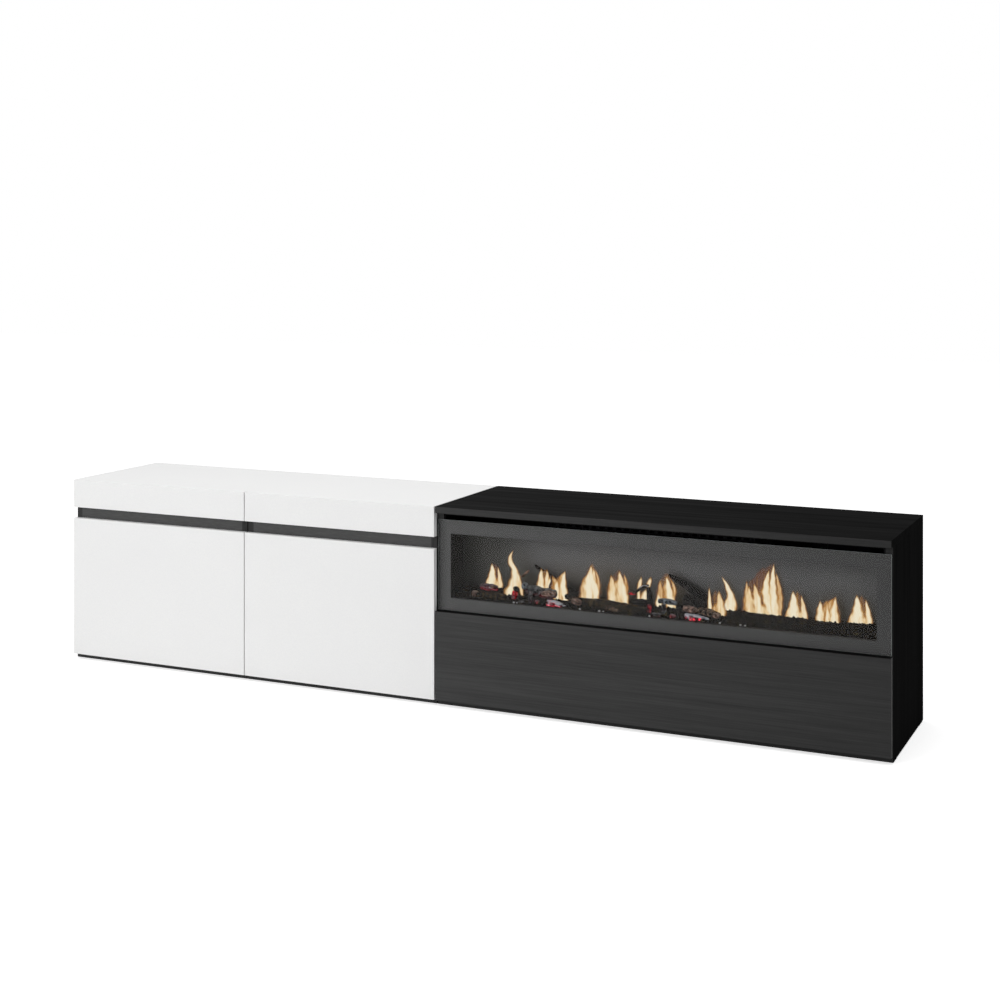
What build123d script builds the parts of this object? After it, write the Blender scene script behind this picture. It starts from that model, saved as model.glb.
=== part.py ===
from build123d import *

import os
from math import sin

# A long low television cabinet that carries an electric fireplace: two white
# cabinets with side-hung doors, and a black cabinet with the fireplace insert
# over a wide push-to-open drawer.
# Frame: origin at the centre of the footprint on the floor, +X to the right,
# the fronts face -Y, +Z up. Millimetres.

# ---- Overall ----
overall_width = 2600.0
overall_depth = 440.0
overall_height = 575.0
white_width = 645.0           # each white cabinet
module_gap = 3.0              # between neighbouring cabinets and their fronts

# ---- Boards ----
board = 19.0                  # carcass sides, bottoms, tops and rails
fascia_board = 20.0           # fixed white bands over the doors
door_board = 18.0             # doors and drawer front
hardboard = 3.0               # back panels
back_lap = 9.0                # how far a back panel laps onto a side
shelf_board = 16.0
front_ease = 0.6              # eased edge of the visible fronts
front_clearance = 18.0        # floor to the lower edge of doors and drawer front
fascia_height = 88.0
groove_height = 35.0          # finger groove between band and door
rail_cover = 12.0             # the groove rail runs down behind the door
black_front_inset = 1.0       # drawer front inside the black cabinet's width

# ---- Small carcass fittings ----
glide_height = 3.0
glide_width = 18.0
glide_length = 40.0
glide_inset = 30.0
glide_ease = 0.8
bumper_side = 9.0
bumper_gap = 0.2              # bumper pad to the closed front
bumper_inset = 40.0
link_bolt_radius = 3.9
link_hole_radius = 4.0
link_head_radius = 7.5
link_head = 2.4               # thickness of the bolt's head and nut
link_drop = 56.0              # bolts under the upper end of the sides
link_inset = 80.0             # bolts from the carcass front and from the back
shelf_height = 250.0
shelf_setback = 40.0
shelf_end_gap = 1.0
support_leg = 14.0            # shelf support: leg on the side panel
support_arm = 12.0            # and arm under the shelf
support_wall = 3.0
support_length = 20.0
support_inset = 40.0          # from the shelf's front and back edges
cable_hole_radius = 30.0
cable_hole_height = 90.0
back_opening_side = 140.0     # rear air opening from the sides of the black cabinet
back_opening_lift = 30.0
back_opening_drop = 40.0

# ---- Concealed door hinges ----
hinge_inset = 90.0            # hinge centre to the door's top and bottom edges
cup_setback = 22.5            # cup centre to the door edge
cup_radius = 17.5
cup_fit = 0.2
cup_depth = 12.0
cup_wall = 1.5
cup_well_sides = 8            # the well pressed in the cup for the arm
wing_thickness = 1.2
wing_length = 58.0
wing_width = 17.0
plate_thickness = 2.0         # mounting plate on the side panel
plate_length = 34.0
plate_height = 36.0
plate_setback = 20.0
arm_height = 12.0
arm_length = 60.0             # behind the carcass front
arm_rise = 11.0               # off the side panel
arm_crank = 22.0              # where the arm bends towards the door
arm_neck = 8.0
nose_near = 1.0               # the nose in the cup, from and to the side panel
nose_far = 7.0
nose_depth = 4.0

# ---- Drawer ----
drawer_board = 16.0
drawer_box_depth = 370.0
drawer_box_lift = 23.0        # drawer box over the carcass bottom
drawer_head_room = 50.0       # drawer box under the insert shelf
drawer_bottom_board = 6.0
drawer_groove_depth = 6.0
drawer_groove_lift = 10.0
drawer_joint_gap = 0.1        # glue line between the back and each side

# ---- Telescopic ball-bearing runners ----
runner_length = 350.0
runner_width = 12.7
runner_start = 4.0            # behind the carcass front
runner_steel = 1.2
outer_half = 22.5
outer_flange = 9.5
ball_space = 1.1              # cabinet member to middle member
middle_setback = 2.0
middle_flange = 9.0
member_gap = 0.6              # middle member to drawer member
inner_flange = 8.7
cage_thickness = 0.6
cage_width = 7.0
cage_length = 180.0

# ---- Push latch ----
latch_radius = 6.0
latch_length = 62.0
latch_setback = 8.0
latch_drop = 8.0              # latch axis under the insert shelf
latch_plate_width = 24.0
latch_plate = 3.0
plunger_radius = 2.5
sliding_fit = 0.08            # radial, plungers and shafts in their bores
plunger_depth = 30.0
plunger_travel = 3.0
tip_clearance = 0.3
bore_end_gap = 1.0            # past the end of a plunger or shaft in its bore

# ---- Fireplace insert ----
glass_inset = 3.0
glass_lift = 3.0              # over the drawer front
glass_height = 260.0
air_slot = 19.0               # open slot between the glass and the black top
glass_thickness = 4.0
window_border = 38.5
frame_steel = 1.2
window_return = 10.0
housing_side_gap = 3.0
housing_top_gap = 4.0
housing_depth = 170.0
housing_flange = 9.0          # turned in at the back for the rear cover
sheet = 1.2
cover_slot = (150.0, 4.0)
cover_slot_pitch = 9.0
cover_slot_inset = 260.0      # outer slots from the housing sides
upper_slot_lift = 22.0        # over the plenum floor
lower_slot_lift = 60.0        # over the firebox floor
inlet_barrel = 7.0            # radius of the bush's barrel
inlet_sides = 12              # the faceted barrel that a spanner holds
inlet_bore = 4.0
inlet_hole_gap = 0.3
inlet_flange = 3.0
inlet_collar = 3.0            # flange and nut past the barrel
inlet_nut = 4.0
inlet_length = 6.0            # barrel inside the housing
inlet_inset = 33.0            # from the rear air opening's right side
inlet_lift = 20.0             # over the rear air opening's lower edge

# ---- Firebox ----
liner_inset = 12.0            # firebox wall to the housing side
liner_gap = 0.4               # firebox behind the frame's window return
liner_overrun = 4.0           # firebox behind the screen
firebox_floor_lift = 26.0     # firebox floor over the insert shelf
firebox_height = 203.0
screen_depth = 92.0           # front edge of the carcass to the flame screen
screen_thickness = 3.0
screen_gap = 0.3
bed_end_gap = 4.0
bed_front = 8.0
bed_front_height = 12.0
bed_height = 34.0
bed_slope = 34.0
bed_screen_gap = 4.0
light_slot_length = 380.0
light_slot_width = 40.0
light_slot_count = 3
coal_count = 17
coal_radius = 11.0
coal_rise = 5.0
coal_taper = 28.0
log_set_start = 183.0         # first set of logs from the firebox's left wall
log_set_pitch = 404.0
log_set_count = 2
log_sides = 6

# ---- Flame drum behind the screen ----
rotor_setback = 30.0          # axis behind the screen's front face
rotor_lift = 45.0             # axis over the firebox floor
rotor_left_space = 29.0       # vanes from the firebox's left wall
rotor_right_space = 49.0      # and from its right wall
rotor_shaft = 3.0
vane_reach = 17.0
vane_steel = 0.8
vane_count = 12
vane_turn = 40.0
vane_share = 0.82             # of each vane's pitch
bracket_steel = 2.0
bracket_space = 12.0          # bracket to the vanes
bracket_foot = 16.0
bracket_width = 40.0
bracket_head = 24.0
bracket_clear_radius = 10.0
shaft_overrun = 2.0
rotor_motor_side = 36.0
rotor_motor_length = 18.0
shaft_engagement = 9.0
led_board_width = 12.0
led_board = 1.6
led_side = 5.0
led_height = 1.2
led_count = 8
led_setbacks = (50.0, 140.0)  # LED boards behind the carcass front

# ---- Controls in the air slot ----
panel_end_gap = 38.0          # control panel from the housing side
panel_width = 150.0
panel_steel = 2.0
panel_setback = 5.0
panel_drop = 2.0              # behind the upper edge of the glass
rocker_width = 20.0
rocker_height = 9.0
rocker_clearance = 0.8
rocker_inset = 30.0
rocker_crown = 1.6
rocker_depth = 6.0
button_width = 9.0
button_height = 6.0
button_clearance = 0.3
button_proud = 2.0
button_length = 9.0
button_collar = 1.5
button_inset = 84.0
button_pitch = 26.0
circuit_overhang = 20.0       # circuit board left of the control panel
circuit_setback = 14.0
circuit_depth = 86.0
circuit_board = 1.6
standoff_height = 6.0
standoff_radius = 3.0
standoff_inset = 6.0
# Each block on the circuit board: place from its left and front edges, width, depth, height.
circuit_blocks = (
    (26.0, 60.0, 34.0, 30.0, 24.0),
    (70.0, 62.0, 20.0, 16.0, 16.0),
    (100.0, 62.0, 20.0, 16.0, 16.0),
    (130.0, 50.0, 12.0, 26.0, 12.0),
)

# ---- Warm-air blower ----
wheel_length = 600.0
wheel_radius = 18.0
wheel_setback = 90.0          # axis behind the carcass front
blower_space = 140.0          # wheel to the circuit board
blade_count = 18
blade_root = 13.5
blade_tip = 17.3
blade_lean = 2.4
blade_belly = 0.5
blade_thickness = 0.8
disc_thickness = 2.0
wheel_shaft = 2.5
stub_length = 10.0
scroll_gap = 3.0
scroll_start = -20.0
scroll_sweep = -110.0
lip_setback = 4.0             # duct lip behind the carcass front
lip_drop = 3.0                # and under the upper edge of the glass
end_plate = 2.0
end_plate_setback = 6.0
end_plate_margin = 4.0
wheel_end_gap = 2.0
stack_half = 18.0             # the motor's lamination stack
stack_length = 16.0
coil_width = 24.0
coil_length = 14.0
heater_setback = 18.0
heater_depth = 25.0
heater_height = 12.0
heater_gap = 1.0
heater_fins = 24
heater_rail = 2.0
heater_end = 10.0
fin_share = 0.6
grille_bars = 28
grille_rail = 2.0
grille_steel = 2.0
grille_end = 5.0

# ---- Derived places ----
front = -overall_depth / 2
back = overall_depth / 2
carcass_front = front + fascia_board
door_back = front + door_board
panel_front = back - hardboard
left = (-overall_width / 2, -overall_width / 2 + white_width)
middle = (left[1] + module_gap, left[1] + module_gap + white_width)
fire = (middle[1] + module_gap, overall_width / 2)
side_top = overall_height - board
floor_top = glide_height + board
fascia_bottom = overall_height - fascia_height
door_top = fascia_bottom - groove_height
hinge_heights = (front_clearance + hinge_inset, door_top - hinge_inset)
link_depths = (carcass_front + link_inset, panel_front - link_inset)
link_height = side_top - link_drop
shelf_depths = (carcass_front + shelf_setback, panel_front - shelf_end_gap)
support_depths = (shelf_depths[0] + support_inset, shelf_depths[1] - support_inset)
fire_inner = (fire[0] + board, fire[1] - board)
glass_top = side_top - air_slot
glass_bottom = glass_top - glass_height
glass_x = (fire[0] + glass_inset, fire[1] - glass_inset)
window_x = (glass_x[0] + window_border, glass_x[1] - window_border)
window_z = (glass_bottom + window_border, glass_top - window_border)
drawer_top = glass_bottom - glass_lift
shelf_under = drawer_top - board
back_opening_x = (fire_inner[0] + back_opening_side, fire_inner[1] - back_opening_side)
back_opening_z = (drawer_top + back_opening_lift, side_top - back_opening_drop)
housing_x = (fire_inner[0] + housing_side_gap, fire_inner[1] - housing_side_gap)
housing_z = (drawer_top, side_top - housing_top_gap)
housing_back = carcass_front + housing_depth
inlet_x = back_opening_x[1] - inlet_inset
inlet_z = back_opening_z[0] + inlet_lift
liner_x = (housing_x[0] + liner_inset, housing_x[1] - liner_inset)
firebox_x = (liner_x[0] + sheet, liner_x[1] - sheet)
firebox_floor = drawer_top + firebox_floor_lift
firebox_top = firebox_floor + firebox_height
plenum_floor = firebox_top + sheet
plenum_top = housing_z[1] - sheet
screen_front = carcass_front + screen_depth
screen_back = screen_front + screen_thickness
bed_depths = (carcass_front + window_return + bed_front, screen_front - bed_screen_gap)
bed_top = firebox_floor + bed_height
rotor_y = screen_front + rotor_setback
rotor_z = firebox_floor + rotor_lift
rotor_x = (firebox_x[0] + rotor_left_space, firebox_x[1] - rotor_right_space)
bracket_x = (rotor_x[0] - bracket_space - bracket_steel, rotor_x[1] + bracket_space)
motor_face = bracket_x[1] + bracket_steel
panel_x = (housing_x[1] - panel_end_gap - panel_width, housing_x[1] - panel_end_gap)
panel_face = carcass_front + panel_setback
control_z = (glass_top + plenum_top) / 2
rocker_x = panel_x[0] + rocker_inset
button_x = (panel_x[0] + button_inset, panel_x[0] + button_inset + button_pitch)
circuit_x = (panel_x[0] - circuit_overhang, panel_x[1])
wheel_x = (circuit_x[0] - blower_space - wheel_length, circuit_x[0] - blower_space)
wheel_y = carcass_front + wheel_setback
wheel_z = (plenum_floor + plenum_top) / 2
scroll_radius = wheel_radius + scroll_gap
outlet_x = (wheel_x[0] - wheel_end_gap, wheel_x[1] + wheel_end_gap)

CORNER = (Align.MIN, Align.MIN)


def save(part, node):
    """Label one finished sub-part and write its STEP file."""
    part.label = node
    export_step(part, f"parts/{node}.step")


def rectangle(x, z, mode=Mode.ADD):
    """A sketch rectangle between two pairs of limits."""
    with Locations((x[0], z[0])):
        Rectangle(x[1] - x[0], z[1] - z[0], align=CORNER, mode=mode)


# ---------------------------------------------------------------- carcasses


def side_panel(node, x0, inner, links=()):
    """A cabinet side: back rebate on its inner face, and holes for the link bolts."""
    x1 = x0 + board
    lap = (x1 - back_lap, x1) if inner > 0 else (x0, x0 + back_lap)
    with BuildPart() as side:
        with BuildSketch(Plane.XY.offset(glide_height)):
            rectangle((x0, x1), (carcass_front, back))
            with Locations((lap[0], panel_front)):
                Rectangle(back_lap, hardboard, align=CORNER, mode=Mode.SUBTRACT)
        extrude(amount=side_top - glide_height)
        if links:
            with BuildSketch(Plane.YZ.offset(x0)):
                with Locations(*[(y, link_height) for y in links]):
                    Circle(link_hole_radius)
            extrude(amount=board, mode=Mode.SUBTRACT)
    save(side.part, node)


def bottom_panel(node, x):
    """A cabinet bottom between the two sides, stopped at the back panel."""
    with BuildPart() as bottom:
        with BuildSketch(Plane.XY.offset(glide_height)):
            rectangle((x[0] + board, x[1] - board), (carcass_front, panel_front))
        extrude(amount=board)
    save(bottom.part, node)


def groove_rails():
    """The dark upright rails that close the finger grooves behind doors and bands."""
    with BuildPart() as rails:
        with BuildSketch(Plane.XY.offset(door_top - rail_cover)):
            for x in (left, middle):
                rectangle((x[0] + board, x[1] - board), (carcass_front, carcass_front + board))
        extrude(amount=side_top - door_top + rail_cover)
    save(rails.part, "groove_rails")


def white_back(node, x):
    """A hardboard back in the rebates, with a round cable hole."""
    with BuildPart() as panel:
        with BuildSketch(Plane.XZ.offset(-back)):
            rectangle((x[0] + board - back_lap, x[1] - board + back_lap), (glide_height, side_top))
            with Locations(((x[0] + x[1]) / 2, cable_hole_height)):
                Circle(cable_hole_radius, mode=Mode.SUBTRACT)
        extrude(amount=hardboard)
    save(panel.part, node)


def fascia(node, x):
    """The fixed white band over a door, flush with the white top."""
    with BuildPart() as band:
        with BuildSketch(Plane.XY.offset(fascia_bottom)):
            rectangle(x, (front, carcass_front))
        extrude(amount=fascia_height)
        chamfer(band.faces().sort_by(Axis.Y)[0].edges(), front_ease)
    save(band.part, node)


def white_top():
    """One white top over both white cabinets, behind the two bands."""
    with BuildPart() as top:
        with BuildSketch(Plane.XY.offset(side_top)):
            rectangle((left[0], middle[1]), (carcass_front, back))
        extrude(amount=board)
    save(top.part, "white_top")


def shelves():
    """The two shelves, one in each white cabinet."""
    with BuildPart() as pair:
        with BuildSketch(Plane.XY.offset(shelf_height)):
            for x in (left, middle):
                inside = (x[0] + board + shelf_end_gap, x[1] - board - shelf_end_gap)
                rectangle(inside, shelf_depths)
        extrude(amount=shelf_board)
    save(pair.part, "shelves")


def shelf_supports():
    """Eight angle supports on the side panels, with one arm under the shelf."""
    with BuildPart() as supports:
        for x in (left, middle):
            for face, way in ((x[0] + board, 1), (x[1] - board, -1)):
                for y in support_depths:
                    with BuildSketch(Plane.XZ.offset(support_length / 2 - y)):
                        with BuildLine():
                            Polyline(
                                (face, shelf_height),
                                (face + way * support_arm, shelf_height),
                                (face + way * support_arm, shelf_height - support_wall),
                                (face + way * support_wall, shelf_height - support_wall),
                                (face + way * support_wall, shelf_height - support_leg),
                                (face, shelf_height - support_leg),
                                close=True,
                            )
                        make_face()
                    extrude(amount=-support_length)
    save(supports.part, "shelf_supports")


def black_top():
    """The black top, out to the front plane over the fireplace."""
    with BuildPart() as top:
        with BuildSketch(Plane.XY.offset(side_top)):
            rectangle(fire, (front, back))
        extrude(amount=board)
        chamfer(top.faces().sort_by(Axis.Y)[0].edges(), front_ease)
    save(top.part, "black_top")


def insert_shelf():
    """The shelf that carries the insert over the drawer."""
    with BuildPart() as shelf:
        with BuildSketch(Plane.XY.offset(shelf_under)):
            rectangle(fire_inner, (carcass_front, panel_front))
        extrude(amount=board)
    save(shelf.part, "insert_shelf")


def black_back():
    """The black cabinet's hardboard back with an air opening behind the insert."""
    with BuildPart() as panel:
        with BuildSketch(Plane.XZ.offset(-back)):
            rectangle((fire_inner[0] - back_lap, fire_inner[1] + back_lap), (glide_height, side_top))
            rectangle(back_opening_x, back_opening_z, mode=Mode.SUBTRACT)
        extrude(amount=hardboard)
    save(panel.part, "black_cabinet_back")


def linking_bolts():
    """Hexagon bolts and thin nuts that draw neighbouring cabinets together through their sides."""
    places = [(y, link_height) for y in link_depths]
    with BuildPart() as bolts:
        for left_side, right_side in ((left, middle), (middle, fire)):
            inner_left = left_side[1] - board
            inner_right = right_side[0] + board
            with BuildSketch(Plane.YZ.offset(inner_left)):
                with Locations(*places):
                    Circle(link_bolt_radius)
            extrude(amount=inner_right - inner_left)
            for start in (inner_left - link_head, inner_right):
                with BuildSketch(Plane.YZ.offset(start)):
                    with Locations(*places):
                        RegularPolygon(link_head_radius, 6)
                extrude(amount=link_head)
    save(bolts.part, "linking_bolts")


def floor_glides():
    """Nail-on glides under every side panel and under the black bottom's middle."""
    sides = [x for unit in (left, middle, fire) for x in (unit[0] + board / 2, unit[1] - board / 2)]
    places = [(x, y) for x in sides + [(fire[0] + fire[1]) / 2]
              for y in (carcass_front + glide_inset, panel_front - glide_inset)]
    with BuildPart() as glides:
        with BuildSketch():
            with Locations(*places):
                Rectangle(glide_width, glide_length)
        extrude(amount=glide_height)
        chamfer(glides.faces().filter_by(Axis.Z).group_by(Axis.Z)[0].edges(), glide_ease)
    save(glides.part, "floor_glides")


def front_bumpers():
    """Soft pads on the carcass edges where the doors and drawer front close."""
    door_z = (front_clearance + bumper_inset, door_top - bumper_inset)
    drawer_z = (front_clearance + bumper_inset, drawer_top - bumper_inset)
    spots = [(left[1] - board / 2, z) for z in door_z]
    spots += [(middle[0] + board / 2, z) for z in door_z]
    spots += [(x, z) for x in (fire[0] + board / 2, fire[1] - board / 2) for z in drawer_z]
    with BuildPart() as pads:
        with BuildSketch(Plane.XZ.offset(-carcass_front)):
            with Locations(*spots):
                Rectangle(bumper_side, bumper_side)
        extrude(amount=carcass_front - door_back - bumper_gap)
    save(pads.part, "front_bumpers")


# ------------------------------------------------------------ doors and hinges


def door(node, x, cup_x):
    """A white door: two cup holes bored in its back near the hinge edge."""
    with BuildPart() as leaf:
        with BuildSketch(Plane.XZ.offset(-door_back)):
            rectangle(x, (front_clearance, door_top))
        extrude(amount=door_board)
        chamfer(leaf.faces().sort_by(Axis.Y)[0].edges(), front_ease)
        with BuildSketch(Plane.XZ.offset(-door_back)):
            with Locations(*[(cup_x, z) for z in hinge_heights]):
                Circle(cup_radius)
        extrude(amount=cup_depth + cup_fit, mode=Mode.SUBTRACT)
    save(leaf.part, node)


def hinge_cups(node, cup_x):
    """Two pressed hinge cups with their screw wings on the door's back."""
    places = [(cup_x, z) for z in hinge_heights]
    with BuildPart() as cups:
        with BuildSketch(Plane.XZ.offset(-door_back - wing_thickness)):
            with Locations(*places):
                Rectangle(wing_width, wing_length)
        extrude(amount=wing_thickness)
        with BuildSketch(Plane.XZ.offset(-door_back)):
            with Locations(*places):
                Circle(cup_radius - cup_fit)
        extrude(amount=cup_depth)
        with BuildSketch(Plane.XZ.offset(-door_back - wing_thickness)):
            with Locations(*places):
                RegularPolygon(cup_radius - cup_fit - cup_wall, cup_well_sides, rotation=22.5)
        extrude(amount=wing_thickness + cup_depth - cup_wall, mode=Mode.SUBTRACT)
    save(cups.part, node)


def hinge_arms():
    """Mounting plates on the side panels with arms whose noses reach into the cups."""
    plate_y = carcass_front + plate_setback + plate_length / 2
    crank = carcass_front + arm_crank
    neck = carcass_front + arm_neck
    tail = carcass_front + arm_length
    nose = door_back - nose_depth
    with BuildPart() as arms:
        for face, way in ((left[0] + board, 1), (middle[1] - board, -1)):
            for z in hinge_heights:
                with BuildSketch(Plane.YZ.offset(face)):
                    with Locations((plate_y, z)):
                        Rectangle(plate_length, plate_height)
                extrude(amount=way * plate_thickness)
                with BuildSketch(Plane.XY.offset(z - arm_height / 2)):
                    with BuildLine():
                        Polyline(
                            (face + way * plate_thickness, tail),
                            (face + way * arm_rise, tail),
                            (face + way * arm_rise, crank),
                            (face + way * nose_far, neck),
                            (face + way * nose_far, nose),
                            (face + way * nose_near, nose),
                            (face + way * nose_near, neck),
                            (face + way * plate_thickness, crank),
                            close=True,
                        )
                    make_face()
                extrude(amount=arm_height)
    save(arms.part, "hinge_arms")


# ------------------------------------------------------------------- drawer


drawer_x = (fire_inner[0] + runner_width, fire_inner[1] - runner_width)
drawer_z = (floor_top + drawer_box_lift, shelf_under - drawer_head_room)
drawer_back = door_back + drawer_box_depth
drawer_floor = drawer_z[0] + drawer_groove_lift
drawer_inside = (drawer_x[0] + drawer_board, drawer_x[1] - drawer_board)
runner_z = (drawer_z[0] + drawer_z[1]) / 2
runner_front = carcass_front + runner_start
middle_half = outer_half - runner_steel - ball_space
inner_half = middle_half - runner_steel - member_gap
cabinet_faces = ((fire_inner[0], 1), (fire_inner[1], -1))


def drawer_front():
    """The wide black drawer front, in line with the white doors."""
    width = (fire[0] + black_front_inset, fire[1] - black_front_inset)
    with BuildPart() as panel:
        with BuildSketch(Plane.XZ.offset(-door_back)):
            rectangle(width, (front_clearance, drawer_top))
        extrude(amount=door_board)
        chamfer(panel.faces().sort_by(Axis.Y)[0].edges(), front_ease)
    save(panel.part, "drawer_front")


def drawer_walls():
    """The drawer's two grooved sides, and its back standing on the drawer bottom."""
    groove_z = (drawer_floor, drawer_floor + drawer_bottom_board)
    back_x = (drawer_inside[0] + drawer_joint_gap, drawer_inside[1] - drawer_joint_gap)
    with BuildPart() as walls:
        for outer, inner, way in ((drawer_x[0], drawer_inside[0], -1), (drawer_x[1], drawer_inside[1], 1)):
            groove_x = sorted((inner, inner + way * drawer_groove_depth))
            with BuildSketch(Plane.XZ.offset(-door_back)):
                rectangle(sorted((outer, inner)), drawer_z)
                rectangle(groove_x, groove_z, mode=Mode.SUBTRACT)
            extrude(amount=-drawer_box_depth)
        with BuildSketch(Plane.XZ.offset(-drawer_back)):
            rectangle(back_x, (groove_z[1], drawer_z[1]))
        extrude(amount=drawer_board)
    save(walls.part, "drawer_walls")


def drawer_bottom():
    """The drawer bottom, let into the side grooves."""
    width = (drawer_inside[0] - drawer_groove_depth, drawer_inside[1] + drawer_groove_depth)
    with BuildPart() as panel:
        with BuildSketch(Plane.XY.offset(drawer_floor)):
            rectangle(width, (door_back, drawer_back))
        extrude(amount=drawer_bottom_board)
    save(panel.part, "drawer_bottom")


def channel(web, way, half, flange):
    """A C-section about the runner's height: its web at x, its flanges along way."""
    with BuildLine() as outline:
        Polyline(
            (web, runner_z - half),
            (web + way * flange, runner_z - half),
            (web + way * flange, runner_z - half + runner_steel),
            (web + way * runner_steel, runner_z - half + runner_steel),
            (web + way * runner_steel, runner_z + half - runner_steel),
            (web + way * flange, runner_z + half - runner_steel),
            (web + way * flange, runner_z + half),
            (web, runner_z + half),
            close=True,
        )
    make_face(outline.edges())


def runner_cabinet_members():
    """The runner channels screwed to the black cabinet's sides."""
    with BuildPart() as members:
        for face, way in cabinet_faces:
            with BuildSketch(Plane.XZ.offset(-runner_front)):
                channel(face, way, outer_half, outer_flange)
            extrude(amount=-runner_length)
    save(members.part, "runner_cabinet_members")


def runner_middle_members():
    """The middle members nested in the cabinet members, with their ball cages."""
    race = middle_half + ball_space / 2
    cage_front = runner_front + (runner_length - cage_length) / 2
    with BuildPart() as members:
        for face, way in cabinet_faces:
            with BuildSketch(Plane.XZ.offset(-runner_front)):
                channel(face + way * middle_setback, way, middle_half, middle_flange)
            extrude(amount=-runner_length)
            cage_x = face + way * (middle_setback + middle_flange / 2)
            with BuildSketch(Plane.XZ.offset(-cage_front)):
                with Locations((cage_x, runner_z + race), (cage_x, runner_z - race)):
                    Rectangle(cage_width, cage_thickness)
            extrude(amount=-cage_length)
    save(members.part, "runner_middle_members")


def runner_drawer_members():
    """The drawer members, screwed to the drawer sides."""
    with BuildPart() as members:
        for face, way in cabinet_faces:
            with BuildSketch(Plane.XZ.offset(-runner_front)):
                channel(face + way * runner_width, -way, inner_half, inner_flange)
            extrude(amount=-runner_length)
    save(members.part, "runner_drawer_members")


latch_x = (fire[0] + fire[1]) / 2
latch_z = shelf_under - latch_drop
latch_front = carcass_front + latch_setback
plunger_front = door_back + tip_clearance


def push_latch_body():
    """The push latch's tube on its plate under the insert shelf."""
    plate_x = (latch_x - latch_plate_width / 2, latch_x + latch_plate_width / 2)
    with BuildPart() as body:
        with BuildSketch(Plane.XZ.offset(-latch_front)):
            with Locations((latch_x, latch_z)):
                Circle(latch_radius)
            rectangle(plate_x, (shelf_under - latch_plate, shelf_under))
        extrude(amount=-latch_length)
        with BuildSketch(Plane.XZ.offset(-latch_front)):
            with Locations((latch_x, latch_z)):
                Circle(plunger_radius + sliding_fit)
        extrude(amount=-(plunger_depth + plunger_travel + bore_end_gap), mode=Mode.SUBTRACT)
    save(body.part, "push_latch_body")


def push_latch_plunger():
    """The sprung plunger that pushes the drawer front off its stops."""
    with BuildPart() as plunger:
        with BuildSketch(Plane.XZ.offset(-plunger_front)):
            with Locations((latch_x, latch_z)):
                Circle(plunger_radius)
        extrude(amount=-(latch_front - plunger_front + plunger_depth))
    save(plunger.part, "push_latch_plunger")


# ------------------------------------------------------------ fireplace insert


def insert_housing():
    """The insert's folded sheet-steel wrap, with flanges turned in at the back."""
    inner_x = (housing_x[0] + sheet, housing_x[1] - sheet)
    inner_z = (housing_z[0] + sheet, housing_z[1] - sheet)
    mouth_x = (inner_x[0] + housing_flange, inner_x[1] - housing_flange)
    mouth_z = (inner_z[0] + housing_flange, inner_z[1] - housing_flange)
    with BuildPart() as wrap:
        with BuildSketch(Plane.XZ.offset(-carcass_front)):
            rectangle(housing_x, housing_z)
            rectangle(inner_x, inner_z, mode=Mode.SUBTRACT)
        extrude(amount=-housing_depth)
        with BuildSketch(Plane.XZ.offset(-housing_back)):
            rectangle(inner_x, inner_z)
            rectangle(mouth_x, mouth_z, mode=Mode.SUBTRACT)
        extrude(amount=sheet)
    save(wrap.part, "insert_housing")


def housing_back_cover():
    """The insert's flat rear cover: rows of air slots and the cord inlet's hole."""
    columns = (
        housing_x[0] + cover_slot_inset,
        (housing_x[0] + housing_x[1]) / 2,
        housing_x[1] - cover_slot_inset,
    )
    with BuildPart() as cover:
        with BuildSketch(Plane.XZ.offset(-housing_back - sheet)):
            rectangle(housing_x, housing_z)
            for x in columns:
                for z, rows in ((plenum_floor + upper_slot_lift, 3), (firebox_floor + lower_slot_lift, 4)):
                    with Locations((x, z)):
                        with GridLocations(0, cover_slot_pitch, 1, rows):
                            Rectangle(*cover_slot, mode=Mode.SUBTRACT)
            with Locations((inlet_x, inlet_z)):
                Circle(inlet_barrel + inlet_hole_gap, mode=Mode.SUBTRACT)
        extrude(amount=sheet)
    save(cover.part, "housing_back_cover")


def inlet_gland():
    """The cord inlet: a square-flanged bush through the rear cover with its clamping nut."""
    outside = housing_back + sheet + inlet_flange
    flange_side = 2 * (inlet_barrel + inlet_collar)
    with BuildPart() as gland:
        with BuildSketch(Plane.XZ.offset(-outside)):
            with Locations((inlet_x, inlet_z)):
                Rectangle(flange_side, flange_side)
        extrude(amount=inlet_flange)
        with BuildSketch(Plane.XZ.offset(-housing_back - sheet)):
            with Locations((inlet_x, inlet_z)):
                RegularPolygon(inlet_barrel, inlet_sides)
        extrude(amount=sheet + inlet_length)
        with BuildSketch(Plane.XZ.offset(-housing_back)):
            with Locations((inlet_x, inlet_z)):
                Rectangle(flange_side, flange_side)
        extrude(amount=inlet_nut)
        with BuildSketch(Plane.XZ.offset(-outside)):
            with Locations((inlet_x, inlet_z)):
                Circle(inlet_bore)
        extrude(amount=inlet_flange + sheet + inlet_length, mode=Mode.SUBTRACT)
    save(gland.part, "inlet_gland")


def front_frame():
    """The steel front frame: a flat face with the window edges turned in."""
    lip_x = (window_x[0] - frame_steel, window_x[1] + frame_steel)
    lip_z = (window_z[0] - frame_steel, window_z[1] + frame_steel)
    with BuildPart() as frame:
        with BuildSketch(Plane.XZ.offset(-carcass_front)):
            rectangle(glass_x, (glass_bottom, glass_top))
        extrude(amount=frame_steel)
        with BuildSketch(Plane.XZ.offset(-carcass_front)):
            rectangle(lip_x, lip_z)
        extrude(amount=-window_return)
        with BuildSketch(Plane.XZ.offset(-carcass_front - window_return)):
            rectangle(window_x, window_z)
        extrude(amount=window_return + frame_steel, mode=Mode.SUBTRACT)
    save(frame.part, "front_frame")


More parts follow.
